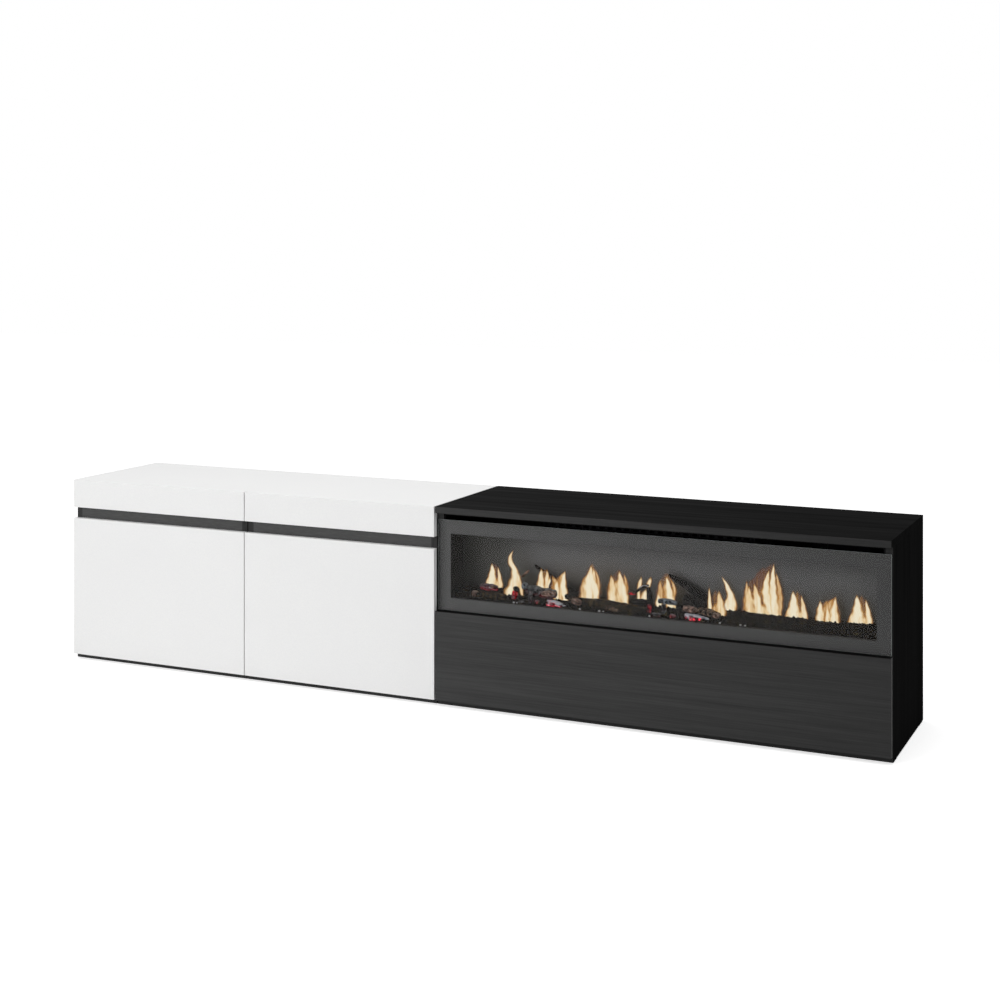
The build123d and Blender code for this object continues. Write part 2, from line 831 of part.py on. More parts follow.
def front_glass():
    """The toughened glass front, bonded to the frame's face."""
    with BuildPart() as pane:
        with BuildSketch(Plane.XZ.offset(-carcass_front + frame_steel)):
            rectangle(glass_x, (glass_bottom, glass_top))
        extrude(amount=glass_thickness)
        chamfer(pane.faces().sort_by(Axis.Y)[0].edges(), front_ease)
    save(pane.part, "front_glass")


def firebox_liner():
    """The folded firebox: walls on the housing floor, raised floor with light slots, ceiling."""
    mouth = carcass_front + window_return + liner_gap
    under_floor = (drawer_top + sheet, firebox_floor - sheet)
    floor_middle = ((firebox_x[0] + firebox_x[1]) / 2, (bed_depths[0] + bed_depths[1]) / 2)
    slot_pitch = (firebox_x[1] - firebox_x[0]) / light_slot_count
    with BuildPart() as liner:
        with BuildSketch(Plane.XZ.offset(-mouth)):
            rectangle(liner_x, (drawer_top + sheet, plenum_floor))
            rectangle(firebox_x, (firebox_floor, firebox_top), mode=Mode.SUBTRACT)
            rectangle(firebox_x, under_floor, mode=Mode.SUBTRACT)
        extrude(amount=mouth - screen_back - liner_overrun)
        with BuildSketch(Plane.XY.offset(firebox_floor)):
            with Locations(floor_middle):
                with GridLocations(slot_pitch, 0, light_slot_count, 1):
                    Rectangle(light_slot_length, light_slot_width)
        extrude(amount=-sheet, mode=Mode.SUBTRACT)
    save(liner.part, "firebox_liner")


def flame_screen():
    """The part-silvered acrylic screen on which the flames show."""
    with BuildPart() as screen:
        with BuildSketch(Plane.XZ.offset(-screen_back)):
            rectangle((firebox_x[0] + screen_gap, firebox_x[1] - screen_gap),
                      (firebox_floor, firebox_top - screen_gap))
        extrude(amount=screen_thickness)
    save(screen.part, "flame_screen")


# Each log of a set, as stations along it: distance along the set, distance in front
# of the screen, height over the firebox floor, radius.
bark_log = ((-174.0, 46.0, 34.0, 12.0), (-90.0, 40.0, 27.0, 15.0), (-4.0, 44.0, 16.0, 12.0))
grey_log = ((34.0, 44.0, 40.0, 14.0), (96.0, 40.0, 38.0, 15.0), (150.0, 34.0, 34.0, 12.0))
branch = (
    (70.0, 26.0, 114.0, 5.0),
    (104.0, 28.0, 90.0, 8.0),
    (166.0, 32.0, 64.0, 14.0),
    (196.0, 34.0, 30.0, 12.0),
)
ash_log = ((100.0, 62.0, 15.0, 8.0), (140.0, 58.0, 15.0, 10.0), (184.0, 52.0, 10.0, 6.0))
ember_block = ((4.0, 44.0, 20.0, 13.0), (10.0, 40.0, 44.0, 5.0))
stick = ((8.0, 34.0, 30.0, 5.0), (22.0, 32.0, 78.0, 4.0), (40.0, 30.0, 90.0, 3.0))
cross_log = ((46.0, 66.0, 12.0, 9.0), (58.0, 30.0, 30.0, 9.0))
log_set = (bark_log, grey_log, branch, ash_log, ember_block, stick, cross_log)


def fire_logs():
    """The moulded sets of charred logs: each log is lofted through its stations."""
    with BuildPart() as pile:
        for number in range(log_set_count):
            start = firebox_x[0] + log_set_start + number * log_set_pitch
            for stations in log_set:
                points = [Vector(start + x, screen_front - y, firebox_floor + z) for x, y, z, _ in stations]
                along = (points[-1] - points[0]).normalized()
                for point, station in zip(points, stations):
                    with BuildSketch(Plane(point, x_dir=along.cross(Vector(0, 0.2, 1)), z_dir=along)):
                        RegularPolygon(station[3], log_sides)
                loft(ruled=True)
    save(pile.part, "fire_logs")
    return pile.part


def ember_bed(logs_in_bed):
    """The moulded ember bed: a slope of coals with the seats of the logs let in."""
    x = (firebox_x[0] + bed_end_gap, firebox_x[1] - bed_end_gap)
    y = bed_depths
    coal_pitch = (x[1] - x[0]) / coal_count
    with BuildPart() as bed:
        with BuildSketch(Plane.YZ.offset(x[0])):
            with BuildLine():
                Polyline(
                    (y[0], firebox_floor),
                    (y[0], firebox_floor + bed_front_height),
                    (y[0] + bed_slope, bed_top),
                    (y[1], bed_top),
                    (y[1], firebox_floor),
                    close=True,
                )
            make_face()
        extrude(amount=x[1] - x[0])
        for number in range(coal_count):
            setback = bed_slope + coal_radius * (1 + sin(5.0 * number))
            place = (x[0] + (number + 0.5) * coal_pitch, y[0] + setback)
            radius = coal_radius * (1 + 0.2 * sin(3.0 * number))
            with BuildSketch(Plane.XY.offset(bed_top - coal_rise)):
                with Locations(place):
                    RegularPolygon(radius, 5, rotation=50 * number)
            extrude(amount=2 * coal_rise, taper=coal_taper)
        add(logs_in_bed, mode=Mode.SUBTRACT)
    save(bed.part, "ember_bed")


# --------------------------------------------------------------- flame drum


def led_strips():
    """Two LED boards on the housing floor: under the ember bed and behind the screen."""
    underside = drawer_top + sheet
    length = rotor_x[1] - rotor_x[0]
    with BuildPart() as strips:
        for setback in led_setbacks:
            y = carcass_front + setback
            with BuildSketch(Plane.XY.offset(underside)):
                rectangle(rotor_x, (y - led_board_width / 2, y + led_board_width / 2))
            extrude(amount=led_board)
            with BuildSketch(Plane.XY.offset(underside + led_board)):
                with Locations(((rotor_x[0] + rotor_x[1]) / 2, y)):
                    with GridLocations(length / led_count, 0, led_count, 1):
                        Rectangle(led_side, led_side)
            extrude(amount=led_height)
    save(strips.part, "led_strips")


def rotor_brackets():
    """Two upright brackets on the housing floor that carry the flame drum."""
    foot = drawer_top + sheet
    left_foot = (bracket_x[0] + bracket_steel - bracket_foot, bracket_x[0] + bracket_steel)
    right_foot = (bracket_x[1], bracket_x[1] + bracket_foot)
    bores = (rotor_shaft + sliding_fit, bracket_clear_radius)
    foot_y = (rotor_y - bracket_width / 2, rotor_y + bracket_width / 2)
    head_y = (rotor_y - bracket_head / 2, rotor_y + bracket_head / 2)
    with BuildPart() as brackets:
        for x, bore, foot_x in zip(bracket_x, bores, (left_foot, right_foot)):
            with BuildSketch(Plane.YZ.offset(x)):
                with BuildLine():
                    Polyline(
                        (foot_y[0], foot),
                        (foot_y[1], foot),
                        (head_y[1], rotor_z + bracket_head / 2),
                        (head_y[0], rotor_z + bracket_head / 2),
                        close=True,
                    )
                make_face()
                with Locations((rotor_y, rotor_z)):
                    Circle(bore, mode=Mode.SUBTRACT)
            extrude(amount=bracket_steel)
            with BuildSketch(Plane.XY.offset(foot)):
                rectangle(foot_x, foot_y)
            extrude(amount=bracket_steel)
    save(brackets.part, "rotor_brackets")


def rotor_motor():
    """The small geared motor that turns the flame drum."""
    with BuildPart() as motor:
        with BuildSketch(Plane.YZ.offset(motor_face)):
            with Locations((rotor_y, rotor_z)):
                Rectangle(rotor_motor_side, rotor_motor_side)
        extrude(amount=rotor_motor_length)
        with BuildSketch(Plane.YZ.offset(motor_face)):
            with Locations((rotor_y, rotor_z)):
                Circle(rotor_shaft + sliding_fit)
        extrude(amount=shaft_engagement + bore_end_gap, mode=Mode.SUBTRACT)
    save(motor.part, "rotor_motor")


def flicker_rotor():
    """The flame drum: a hexagon bar with round journals and mirror vanes in a spiral."""
    span = (rotor_x[1] - rotor_x[0]) / vane_count
    journals = (
        (bracket_x[0] - shaft_overrun, rotor_x[0]),
        (rotor_x[1], motor_face + shaft_engagement),
    )
    with BuildPart() as rotor:
        with BuildSketch(Plane.YZ.offset(rotor_x[0])):
            with Locations((rotor_y, rotor_z)):
                RegularPolygon(rotor_shaft, 6)
        extrude(amount=rotor_x[1] - rotor_x[0])
        for start, end in journals:
            with BuildSketch(Plane.YZ.offset(start)):
                with Locations((rotor_y, rotor_z)):
                    Circle(rotor_shaft)
            extrude(amount=end - start)
        for number in range(vane_count):
            x = rotor_x[0] + (number + 0.5) * span
            with Locations(Location((x, rotor_y, rotor_z), (number * vane_turn, 0, 0))):
                Box(span * vane_share, 2 * vane_reach, vane_steel)
    save(rotor.part, "flicker_rotor")


# ------------------------------------------------------------------- blower


def blower_wheel():
    """The cross-flow wheel: curved blades between discs on two stub shafts."""
    axis = Plane(origin=(wheel_x[0], wheel_y, wheel_z), x_dir=(0, 1, 0), z_dir=(1, 0, 0))
    bend = (blade_root + blade_tip) / 2
    discs = (0.0, (wheel_length - disc_thickness) / 2, wheel_length - disc_thickness)
    stubs = (-stub_length, wheel_length)
    lengths = (stub_length, wheel_end_gap + end_plate + shaft_engagement)
    with BuildPart() as wheel:
        with BuildSketch(axis):
            with PolarLocations(0, blade_count):
                with BuildLine():
                    hollow = ThreePointArc((blade_root, 0), (bend, blade_belly), (blade_tip, blade_lean))
                    crown = ThreePointArc((blade_root, blade_thickness),
                                          (bend, blade_belly + blade_thickness),
                                          (blade_tip, blade_lean + blade_thickness))
                    Line(hollow @ 1, crown @ 1)
                    Line(crown @ 0, hollow @ 0)
                make_face()
        extrude(amount=wheel_length)
        for place in discs:
            with BuildSketch(axis.offset(place)):
                Circle(wheel_radius)
            extrude(amount=disc_thickness)
        for place, length in zip(stubs, lengths):
            with BuildSketch(axis.offset(place)):
                Circle(wheel_shaft)
            extrude(amount=length)
    save(wheel.part, "blower_wheel")


def blower_duct():
    """The blower's casing: scroll behind the wheel, outlet lip and two end plates."""
    plates = (outlet_x[0] - end_plate, outlet_x[1])
    lip = (carcass_front + lip_setback, glass_top - lip_drop)
    plate_y = (carcass_front + end_plate_setback, wheel_y + scroll_radius + end_plate_margin)
    with BuildPart() as duct:
        with BuildSketch(Plane.YZ.offset(plates[0])):
            with BuildLine():
                face = CenterArc((wheel_y, wheel_z), scroll_radius, scroll_start, scroll_sweep)
                shell = CenterArc((wheel_y, wheel_z), scroll_radius + sheet, scroll_start, scroll_sweep)
                Line(face @ 0, shell @ 0)
                Line(face @ 1, lip)
                Line(lip, (lip[0], lip[1] - sheet))
                Line((lip[0], lip[1] - sheet), shell @ 1)
            make_face()
        extrude(amount=plates[1] + end_plate - plates[0])
        for x in plates:
            with BuildSketch(Plane.YZ.offset(x)):
                rectangle(plate_y, (plenum_floor, plenum_top))
                with Locations((wheel_y, wheel_z)):
                    Circle(wheel_shaft + sliding_fit, mode=Mode.SUBTRACT)
            extrude(amount=end_plate)
    save(duct.part, "blower_duct")


def blower_motor():
    """The shaded-pole motor on the duct's right end plate: its stack and its coil."""
    face = outlet_x[1] + end_plate
    stack_y = (wheel_y - stack_half, wheel_y + stack_half)
    with BuildPart() as motor:
        with BuildSketch(Plane.YZ.offset(face)):
            rectangle(stack_y, (plenum_floor, wheel_z + stack_half))
        extrude(amount=stack_length)
        with BuildSketch(Plane.YZ.offset(face + stack_length)):
            with Locations((wheel_y, wheel_z)):
                Rectangle(coil_width, coil_width)
        extrude(amount=coil_length)
        with BuildSketch(Plane.YZ.offset(face)):
            with Locations((wheel_y, wheel_z)):
                Circle(wheel_shaft + sliding_fit)
        extrude(amount=shaft_engagement + bore_end_gap, mode=Mode.SUBTRACT)
    save(motor.part, "blower_motor")


def heater_element():
    """The finned heater bar across the blower's outlet."""
    z = (plenum_top - heater_gap - heater_height, plenum_top - heater_gap)
    pitch = (outlet_x[1] - outlet_x[0] - 2 * heater_end) / heater_fins
    with BuildPart() as heater:
        with BuildSketch(Plane.XZ.offset(-carcass_front - heater_setback)):
            rectangle(outlet_x, z)
            with Locations(((outlet_x[0] + outlet_x[1]) / 2, (z[0] + z[1]) / 2)):
                with GridLocations(pitch, 0, heater_fins, 1):
                    Rectangle(pitch * fin_share, heater_height - 2 * heater_rail, mode=Mode.SUBTRACT)
        extrude(amount=-heater_depth)
    save(heater.part, "heater_element")


def outlet_grille():
    """The finger guard in the air slot, in front of the heater."""
    z = (glass_top, plenum_top)
    pitch = (outlet_x[1] - outlet_x[0] - 2 * grille_end) / grille_bars
    with BuildPart() as grille:
        with BuildSketch(Plane.XZ.offset(-carcass_front - grille_steel)):
            rectangle(outlet_x, z)
            with Locations(((outlet_x[0] + outlet_x[1]) / 2, (z[0] + z[1]) / 2)):
                with GridLocations(pitch, 0, grille_bars, 1):
                    Rectangle(pitch - grille_rail, z[1] - z[0] - 2 * grille_rail, mode=Mode.SUBTRACT)
        extrude(amount=-grille_steel)
    save(grille.part, "outlet_grille")


# ----------------------------------------------------------------- controls


def control_panel():
    """The small control panel at the right of the air slot."""
    with BuildPart() as panel:
        with BuildSketch(Plane.XZ.offset(-panel_face)):
            rectangle(panel_x, (glass_top - panel_drop, plenum_top))
            with Locations((rocker_x, control_z)):
                Rectangle(rocker_width + 2 * rocker_clearance, rocker_height + 2 * rocker_clearance,
                          mode=Mode.SUBTRACT)
            with Locations(*[(x, control_z) for x in button_x]):
                Rectangle(button_width + 2 * button_clearance, button_height + 2 * button_clearance,
                          mode=Mode.SUBTRACT)
        extrude(amount=-panel_steel)
    save(panel.part, "control_panel")


def power_rocker():
    """The mains rocker: a shallow V of two faces over a cross pivot."""
    half = rocker_width / 2
    waist = panel_face + rocker_depth / 2
    slope = rocker_crown / 4
    with BuildPart() as rocker:
        with BuildSketch(Plane.XY.offset(control_z - rocker_height / 2)):
            with BuildLine():
                Polyline(
                    (rocker_x - half + slope, waist),
                    (rocker_x - half, panel_face - rocker_crown),
                    (rocker_x, panel_face - slope),
                    (rocker_x + half - 2 * slope, panel_face),
                    (rocker_x + half - rocker_crown, waist),
                    (rocker_x, panel_face + rocker_depth),
                    close=True,
                )
            make_face()
        extrude(amount=rocker_height)
    save(rocker.part, "power_rocker")


def button(node, x):
    """A push button with a retaining collar behind the panel."""
    collar = panel_face + panel_steel + button_clearance
    with BuildPart() as cap:
        with BuildSketch(Plane.XZ.offset(-panel_face + button_proud)):
            with Locations((x, control_z)):
                Rectangle(button_width, button_height)
        extrude(amount=-button_length)
        chamfer(cap.faces().sort_by(Axis.Y)[0].edges(), front_ease)
        with BuildSketch(Plane.XZ.offset(-collar)):
            with Locations((x, control_z)):
                Rectangle(button_width + 2 * button_collar, button_height + 2 * button_collar)
        extrude(amount=-button_collar)
    save(cap.part, node)


def control_board():
    """The circuit board on stand-offs behind the control panel, with its parts."""
    y = (panel_face + circuit_setback, panel_face + circuit_setback + circuit_depth)
    top = plenum_floor + standoff_height + circuit_board
    with BuildPart() as pcb:
        with BuildSketch(Plane.XY.offset(plenum_floor)):
            with Locations(((circuit_x[0] + circuit_x[1]) / 2, (y[0] + y[1]) / 2)):
                with GridLocations(circuit_x[1] - circuit_x[0] - 2 * standoff_inset,
                                   circuit_depth - 2 * standoff_inset, 2, 2):
                    RegularPolygon(standoff_radius, 6)
        extrude(amount=standoff_height)
        with BuildSketch(Plane.XY.offset(plenum_floor + standoff_height)):
            rectangle(circuit_x, y)
        extrude(amount=circuit_board)
        for across, behind, width, depth, height in circuit_blocks:
            with BuildSketch(Plane.XY.offset(top)):
                with Locations((circuit_x[0] + across, y[0] + behind)):
                    Rectangle(width, depth)
            extrude(amount=height)
    save(pcb.part, "control_board")


def main():
    os.makedirs("parts", exist_ok=True)
    side_panel("left_cabinet_outer_side", left[0], 1)
    side_panel("left_cabinet_inner_side", left[1] - board, -1, links=link_depths)
    side_panel("middle_cabinet_left_side", middle[0], 1, links=link_depths)
    side_panel("middle_cabinet_right_side", middle[1] - board, -1, links=link_depths)
    side_panel("black_cabinet_left_side", fire[0], 1, links=link_depths)
    side_panel("black_cabinet_right_side", fire[1] - board, -1)
    bottom_panel("left_cabinet_bottom", left)
    bottom_panel("middle_cabinet_bottom", middle)
    bottom_panel("black_cabinet_bottom", fire)
    groove_rails()
    white_back("left_cabinet_back", left)
    white_back("middle_cabinet_back", middle)
    fascia("left_fascia", left)
    fascia("middle_fascia", middle)
    white_top()
    shelves()
    shelf_supports()
    black_top()
    insert_shelf()
    black_back()
    linking_bolts()
    floor_glides()
    front_bumpers()
    door("left_door", left, left[0] + cup_setback)
    door("middle_door", middle, middle[1] - cup_setback)
    hinge_cups("left_hinge_cups", left[0] + cup_setback)
    hinge_cups("middle_hinge_cups", middle[1] - cup_setback)
    hinge_arms()
    drawer_front()
    drawer_walls()
    drawer_bottom()
    runner_cabinet_members()
    runner_middle_members()
    runner_drawer_members()
    push_latch_body()
    push_latch_plunger()
    insert_housing()
    housing_back_cover()
    inlet_gland()
    front_frame()
    front_glass()
    firebox_liner()
    flame_screen()
    ember_bed(fire_logs())
    led_strips()
    rotor_brackets()
    rotor_motor()
    flicker_rotor()
    blower_wheel()
    blower_duct()
    blower_motor()
    heater_element()
    outlet_grille()
    control_panel()
    power_rocker()
    button("flame_button", button_x[0])
    button("heat_button", button_x[1])
    control_board()


main()
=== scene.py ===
"""Looks of a low media cabinet: two white modules and a black one with an electric fireplace insert."""

import bpy
import numpy as np
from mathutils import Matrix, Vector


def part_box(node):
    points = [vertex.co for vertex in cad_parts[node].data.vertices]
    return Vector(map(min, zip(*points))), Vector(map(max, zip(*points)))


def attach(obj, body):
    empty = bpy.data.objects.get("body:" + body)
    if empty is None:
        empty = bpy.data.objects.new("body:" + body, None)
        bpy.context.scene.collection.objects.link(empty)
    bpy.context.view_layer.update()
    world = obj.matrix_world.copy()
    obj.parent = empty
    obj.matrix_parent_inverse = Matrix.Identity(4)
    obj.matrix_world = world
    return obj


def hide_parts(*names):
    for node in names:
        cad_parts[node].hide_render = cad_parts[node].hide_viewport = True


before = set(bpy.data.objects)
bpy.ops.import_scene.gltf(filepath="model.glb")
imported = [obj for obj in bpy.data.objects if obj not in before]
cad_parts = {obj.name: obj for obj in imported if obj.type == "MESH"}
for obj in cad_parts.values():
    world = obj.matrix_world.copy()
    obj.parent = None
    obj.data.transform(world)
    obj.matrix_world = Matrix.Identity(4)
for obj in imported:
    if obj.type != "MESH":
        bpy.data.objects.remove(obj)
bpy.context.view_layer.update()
MM = 0.001


# ---------------------------------------------------------------- camera, light and floor

lens = bpy.data.cameras.new("front_right_view")
lens.lens = 59.63
lens.sensor_width = 36.0
lens.shift_y = -0.2613
camera = bpy.data.objects.new("front_right_view", lens)
camera.location = (2.150, -4.4767, 1.3459)
camera.rotation_euler = (np.radians(90.0), 0.0, np.radians(24.59))
bpy.context.collection.objects.link(camera)
scene = bpy.context.scene
scene.camera = camera
scene.view_settings.view_transform = "Standard"


# ---------------------------------------------------------------- helpers


def linear(hex_colour):
    """An sRGB colour written as RRGGBB, as the linear RGBA that the sockets take."""
    value = np.array([int(hex_colour[i:i + 2], 16) for i in (0, 2, 4)]) / 255
    low, high = value / 12.92, ((value + 0.055) / 1.055) ** 2.4
    return (*np.where(value <= 0.04045, low, high), 1.0)


def node(tree, kind, inputs=(), **settings):
    """Add one node: settings are its properties, inputs maps a socket to a value or to what feeds it."""
    made = tree.nodes.new("ShaderNode" + kind)
    for name, value in settings.items():
        setattr(made, name, value)
    for socket, value in dict(inputs).items():
        if isinstance(value, bpy.types.NodeSocket):
            tree.links.new(value, made.inputs[socket])
        else:
            made.inputs[socket].default_value = value
    return made


def material(name, plain):
    """A material with one Principled shader: plain maps sockets to values that are the same all over."""
    made = bpy.data.materials.new(name)
    made.use_nodes = True
    shader = made.node_tree.nodes["Principled BSDF"]
    for socket, value in plain.items():
        shader.inputs[socket].default_value = value
    return made, made.node_tree, shader


def grids_to_mesh(name, grids, body, finish):
    """Join grids of points into one quad mesh that rides a body.

    Each grid is (points, wrap, ends, fields): points is rows by columns by xyz in mm, wrap closes the
    columns into a ring, ends puts a flat face on the first and last row, and each field is one number
    per point that the material reads. A quad joins each point to its next row and column. The field
    keep is not for the material: a quad stays out where it is false at all four corners."""
    corners, faces, fields = [], [], {}
    start = 0
    for points, wrap, ends, values in grids:
        rows, columns = points.shape[:2]
        index = start + np.arange(rows * columns).reshape(rows, columns)
        ring = np.hstack([index, index[:, :1]]) if wrap else index
        quads = np.stack([ring[:-1, :-1], ring[:-1, 1:], ring[1:, 1:], ring[1:, :-1]], axis=-1)
        quads = quads.reshape(-1, 4)
        keep = values.get("keep")
        if keep is not None:
            quads = quads[keep.ravel()[quads - start].any(axis=1)]
        faces += quads.tolist()
        if ends:
            faces += [index[0, ::-1].tolist(), index[-1].tolist()]
        corners.append(points.reshape(-1, 3) * MM)
        for field, value in values.items():
            fields.setdefault(field, []).append(np.broadcast_to(value, (rows, columns)).ravel())
        start += rows * columns
    mesh = bpy.data.meshes.new(name)
    mesh.from_pydata(np.vstack(corners).tolist(), [], faces)
    for field, parts in fields.items():
        if field != "keep":
            mesh.attributes.new(field, "FLOAT", "POINT").data.foreach_set("value", np.hstack(parts))
    mesh.polygons.foreach_set("use_smooth", np.ones(len(faces), bool))
    mesh.materials.append(finish)
    mesh.update()
    piece = bpy.data.objects.new(name, mesh)
    bpy.context.collection.objects.link(piece)
    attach(piece, body)
    return piece


def lumps(points, size, seed, octaves=4):
    """Uneven relief from -1 to 1: sine waves in random directions, each octave half as long and high."""
    dice = np.random.default_rng(seed)
    total = np.zeros(points.shape[:-1])
    for octave in range(octaves):
        for _ in range(5):
            way = dice.normal(size=3)
            way *= 2 * np.pi * 2 ** octave / (size * np.linalg.norm(way))
            total += np.sin(points @ way + dice.uniform(0, 2 * np.pi)) / 2 ** octave
    # Five waves in each of four octaves rarely add up to more than 4.5.
    return total / 4.5


# ---------------------------------------------------------------- finishes


def facing(tree, axis, sign):
    """1 on the faces of a piece that look along one axis, 0 on the others."""
    way = node(tree, "SeparateXYZ", {0: node(tree, "TexCoord").outputs["Normal"]}).outputs[axis]
    return node(tree, "MapRange", {0: way, 1: 0.6 * sign, 2: 0.8 * sign}).outputs[0]


def grain_board(name, axis, front, top, side, gloss=0.0):
    """Black ash-grain melamine foil on board: pressed pores run one way. Its colour is painted in three
    tones by the way each face looks, fronts lighter than tops and tops lighter than sides: painted light."""
    made, tree, shader = material(name, {"Roughness": 0.55, "IOR": 1.5, "Specular IOR Level": gloss})
    place = node(tree, "TexCoord").outputs["Object"]
    # Pores of the foil are 0.5 mm wide, drawn 3 mm wide to show, and 180 mm long.
    pores = [1 / 0.003] * 3
    pores[axis] = 1 / 0.18
    # Bands of growth are 22 mm wide and run for about a metre.
    bands = [1 / 0.022] * 3
    bands[axis] = 1 / 0.9
    fine = node(tree, "Mapping", {"Vector": place, "Scale": pores}).outputs[0]
    broad = node(tree, "Mapping", {"Vector": place, "Scale": bands}).outputs[0]
    pore = node(tree, "TexNoise",
                {"Vector": fine, "Scale": 1.0, "Detail": 3.0, "Roughness": 0.6}).outputs[0]
    band = node(tree, "TexNoise",
                {"Vector": broad, "Scale": 1.0, "Detail": 4.0, "Distortion": 0.6}).outputs[0]
    both = node(tree, "Math", {0: pore, 1: band}, operation="ADD").outputs[0]
    grain = node(tree, "MapRange", {0: both, 1: 0.72, 2: 1.28}).outputs[0]
    # Painted shade: the colour darkens towards the right end of the black module, by up to a third.
    along = node(tree, "SeparateXYZ", {0: place}).outputs[0]
    depth = node(tree, "MapRange", {0: along, 1: 0.0, 2: 1.3, 3: 0.0, 4: 0.34}).outputs[0]
    # Painted light: each face takes the tone of its facing, front, top or side.
    on_front, on_top, on_side = (
        node(tree, "Mix", {0: grain, 6: linear(dark), 7: linear(light)}, data_type="RGBA").outputs[2]
        for dark, light in (front, top, side))
    ahead = node(tree, "Mix", {0: facing(tree, 1, -1), 6: on_side, 7: on_front},
                 data_type="RGBA").outputs[2]
    tone = node(tree, "Mix", {0: facing(tree, 2, 1), 6: ahead, 7: on_top}, data_type="RGBA").outputs[2]
    colour = node(tree, "Mix", {0: depth, 6: tone, 7: linear("000000")}, data_type="RGBA").outputs[2]
    tree.links.new(colour, shader.inputs["Base Color"])
    rough = node(tree, "MapRange", {0: pore, 3: 0.62, 4: 0.48}).outputs[0]
    tree.links.new(rough, shader.inputs["Roughness"])
    relief = node(tree, "Bump", {"Strength": 0.25, "Distance": 0.0003, "Height": both}).outputs[0]
    tree.links.new(relief, shader.inputs["Normal"])
    return made


def coated(name, plain, dark, light, cloud, grit, bump, along=(1, 1, 1)):
    """A coated or moulded surface: clouds of colour some cloud mm wide under a skin of grit mm bumps."""
    made, tree, shader = material(name, plain)
    place = node(tree, "TexCoord").outputs["Object"]
    run = node(tree, "Mapping", {"Vector": place, "Scale": along}).outputs[0]
    clouds = node(tree, "TexNoise", {"Vector": run, "Scale": 1000 / cloud, "Detail": 3.0}).outputs[0]
    grains = node(tree, "TexNoise", {"Vector": run, "Scale": 1000 / grit, "Detail": 2.0}).outputs[0]
    share = node(tree, "Math", {0: clouds, 1: grains}, operation="MULTIPLY_ADD")
    share.inputs[1].default_value = 0.7
    tree.links.new(grains, share.inputs[2])
    even = node(tree, "MapRange", {0: share.outputs[0], 1: 0.55, 2: 1.15}).outputs[0]
    colour = node(tree, "Mix", {0: even, 6: linear(dark), 7: linear(light)}, data_type="RGBA").outputs[2]
    tree.links.new(colour, shader.inputs["Base Color"])
    level = plain["Roughness"]
    rough = node(tree, "MapRange", {0: grains, 1: 0.3, 2: 0.7, 3: level - 0.06, 4: level + 0.06}).outputs[0]
    tree.links.new(rough, shader.inputs["Roughness"])
    relief = node(tree, "Bump", {"Strength": bump, "Distance": grit / 8000, "Height": grains}).outputs[0]
    tree.links.new(relief, shader.inputs["Normal"])
    return made


# Matt white melamine foil on particle board: an even white with a faint pearl grain (drawn 3 mm wide).
white_melamine = coated("matt_white_melamine", {"Roughness": 0.45, "IOR": 1.5, "Specular IOR Level": 0.3},
                        "E5E5E5", "E9E9E8", 260, 3.0, 0.06)
# The same black foil on fronts, tops and sides, in tones painted by facing; the grain runs along each
# board. The top of the drawer front, seen only in the gap under the glass, is painted near black: painted
# shade of that gap.
# Painted light: front, top and side tones of one foil, lightest on fronts and darkest on sides.
front_tone, side_tone = ("363636", "424242"), ("171717", "232323")
# Painted shade: the near-black tone on top of the drawer front.
top_tone, gap_shade_tone = ("1B1B1B", "2A2A2A"), ("040404", "060606")
black_front = grain_board("black_ash_grain_foil_front", 0, front_tone, gap_shade_tone, side_tone, 0.06)
black_top = grain_board("black_ash_grain_foil_top", 0, front_tone, top_tone, side_tone)
black_side = grain_board("black_ash_grain_foil_side", 2, front_tone, top_tone, side_tone)
# Graphite melamine of the finger groove: a flat dark grey.
graphite = coated("matt_graphite_melamine", {"Roughness": 0.6, "IOR": 1.5, "Specular IOR Level": 0.15},
                  "484848", "525252", 180, 3.0, 0.05, (0.15, 1, 1))
# Grey drawer board: melamine with a fine linen print.
drawer_board = coated("dark_grey_drawer_melamine", {"Roughness": 0.5, "IOR": 1.5},
                      "66666A", "727276", 120, 1.5, 0.08)
# Hardboard back painted black: pressed wood fibre, slightly mottled and dull.
hardboard = coated("black_painted_hardboard", {"Roughness": 0.7, "IOR": 1.5, "Specular IOR Level": 0.3},
                   "1D1D1D", "292928", 14, 2.0, 0.35)
# Zinc-plated pressed steel: bright grey with soft cloudy crystals.
zinc = coated("zinc_plated_steel", {"Roughness": 0.34, "Metallic": 1.0},
              "A9ACAF", "C6C8CA", 7, 1.0, 0.1)
# Black powder-coated sheet steel: fine orange peel, low sheen.
black_coat = coated("black_powder_coated_steel", {"Roughness": 0.6, "IOR": 1.5, "Specular IOR Level": 0.1},
                    "0C0C0C", "141414", 60, 1.2, 0.2)
# Heat-proof dark olive coating inside the firebox.
liner_coat = coated("dark_heat_proof_coating", {"Roughness": 0.7, "IOR": 1.5, "Specular IOR Level": 0.2},
                    "1E1D1A", "282723", 80, 1.5, 0.2)
# Bright rolled aluminium: fine lines along the roll, strong soft reflections.
aluminium = coated("bright_rolled_aluminium", {"Roughness": 0.25, "Metallic": 1.0},
                   "C9CBCD", "DFE0E1", 30, 0.8, 0.08, (0.06, 1, 1))
# Black moulded ABS: fine spark-eroded texture, low sheen.
black_abs = coated("black_moulded_abs", {"Roughness": 0.5, "IOR": 1.53, "Specular IOR Level": 0.12},
                   "0C0C0D", "141415", 40, 0.8, 0.15)
# Black lacquer on the controls and the grille in the air slot, dead matt and painted a near black darker
# than black plastic: painted shade of the slot.
slot_shade_black = coated("black_lacquer_with_painted_slot_shade", {"Roughness": 0.9, "IOR": 1.5, "Specular IOR Level": 0.0},
                    "030304", "080809", 20, 0.8, 0.1)
# Black-oxidised fins of the heating element: dark metal with a dull sheen.
dark_fins = coated("black_oxidised_aluminium", {"Roughness": 0.5, "Metallic": 1.0},
                   "0D0D0E", "161617", 12, 0.8, 0.1)
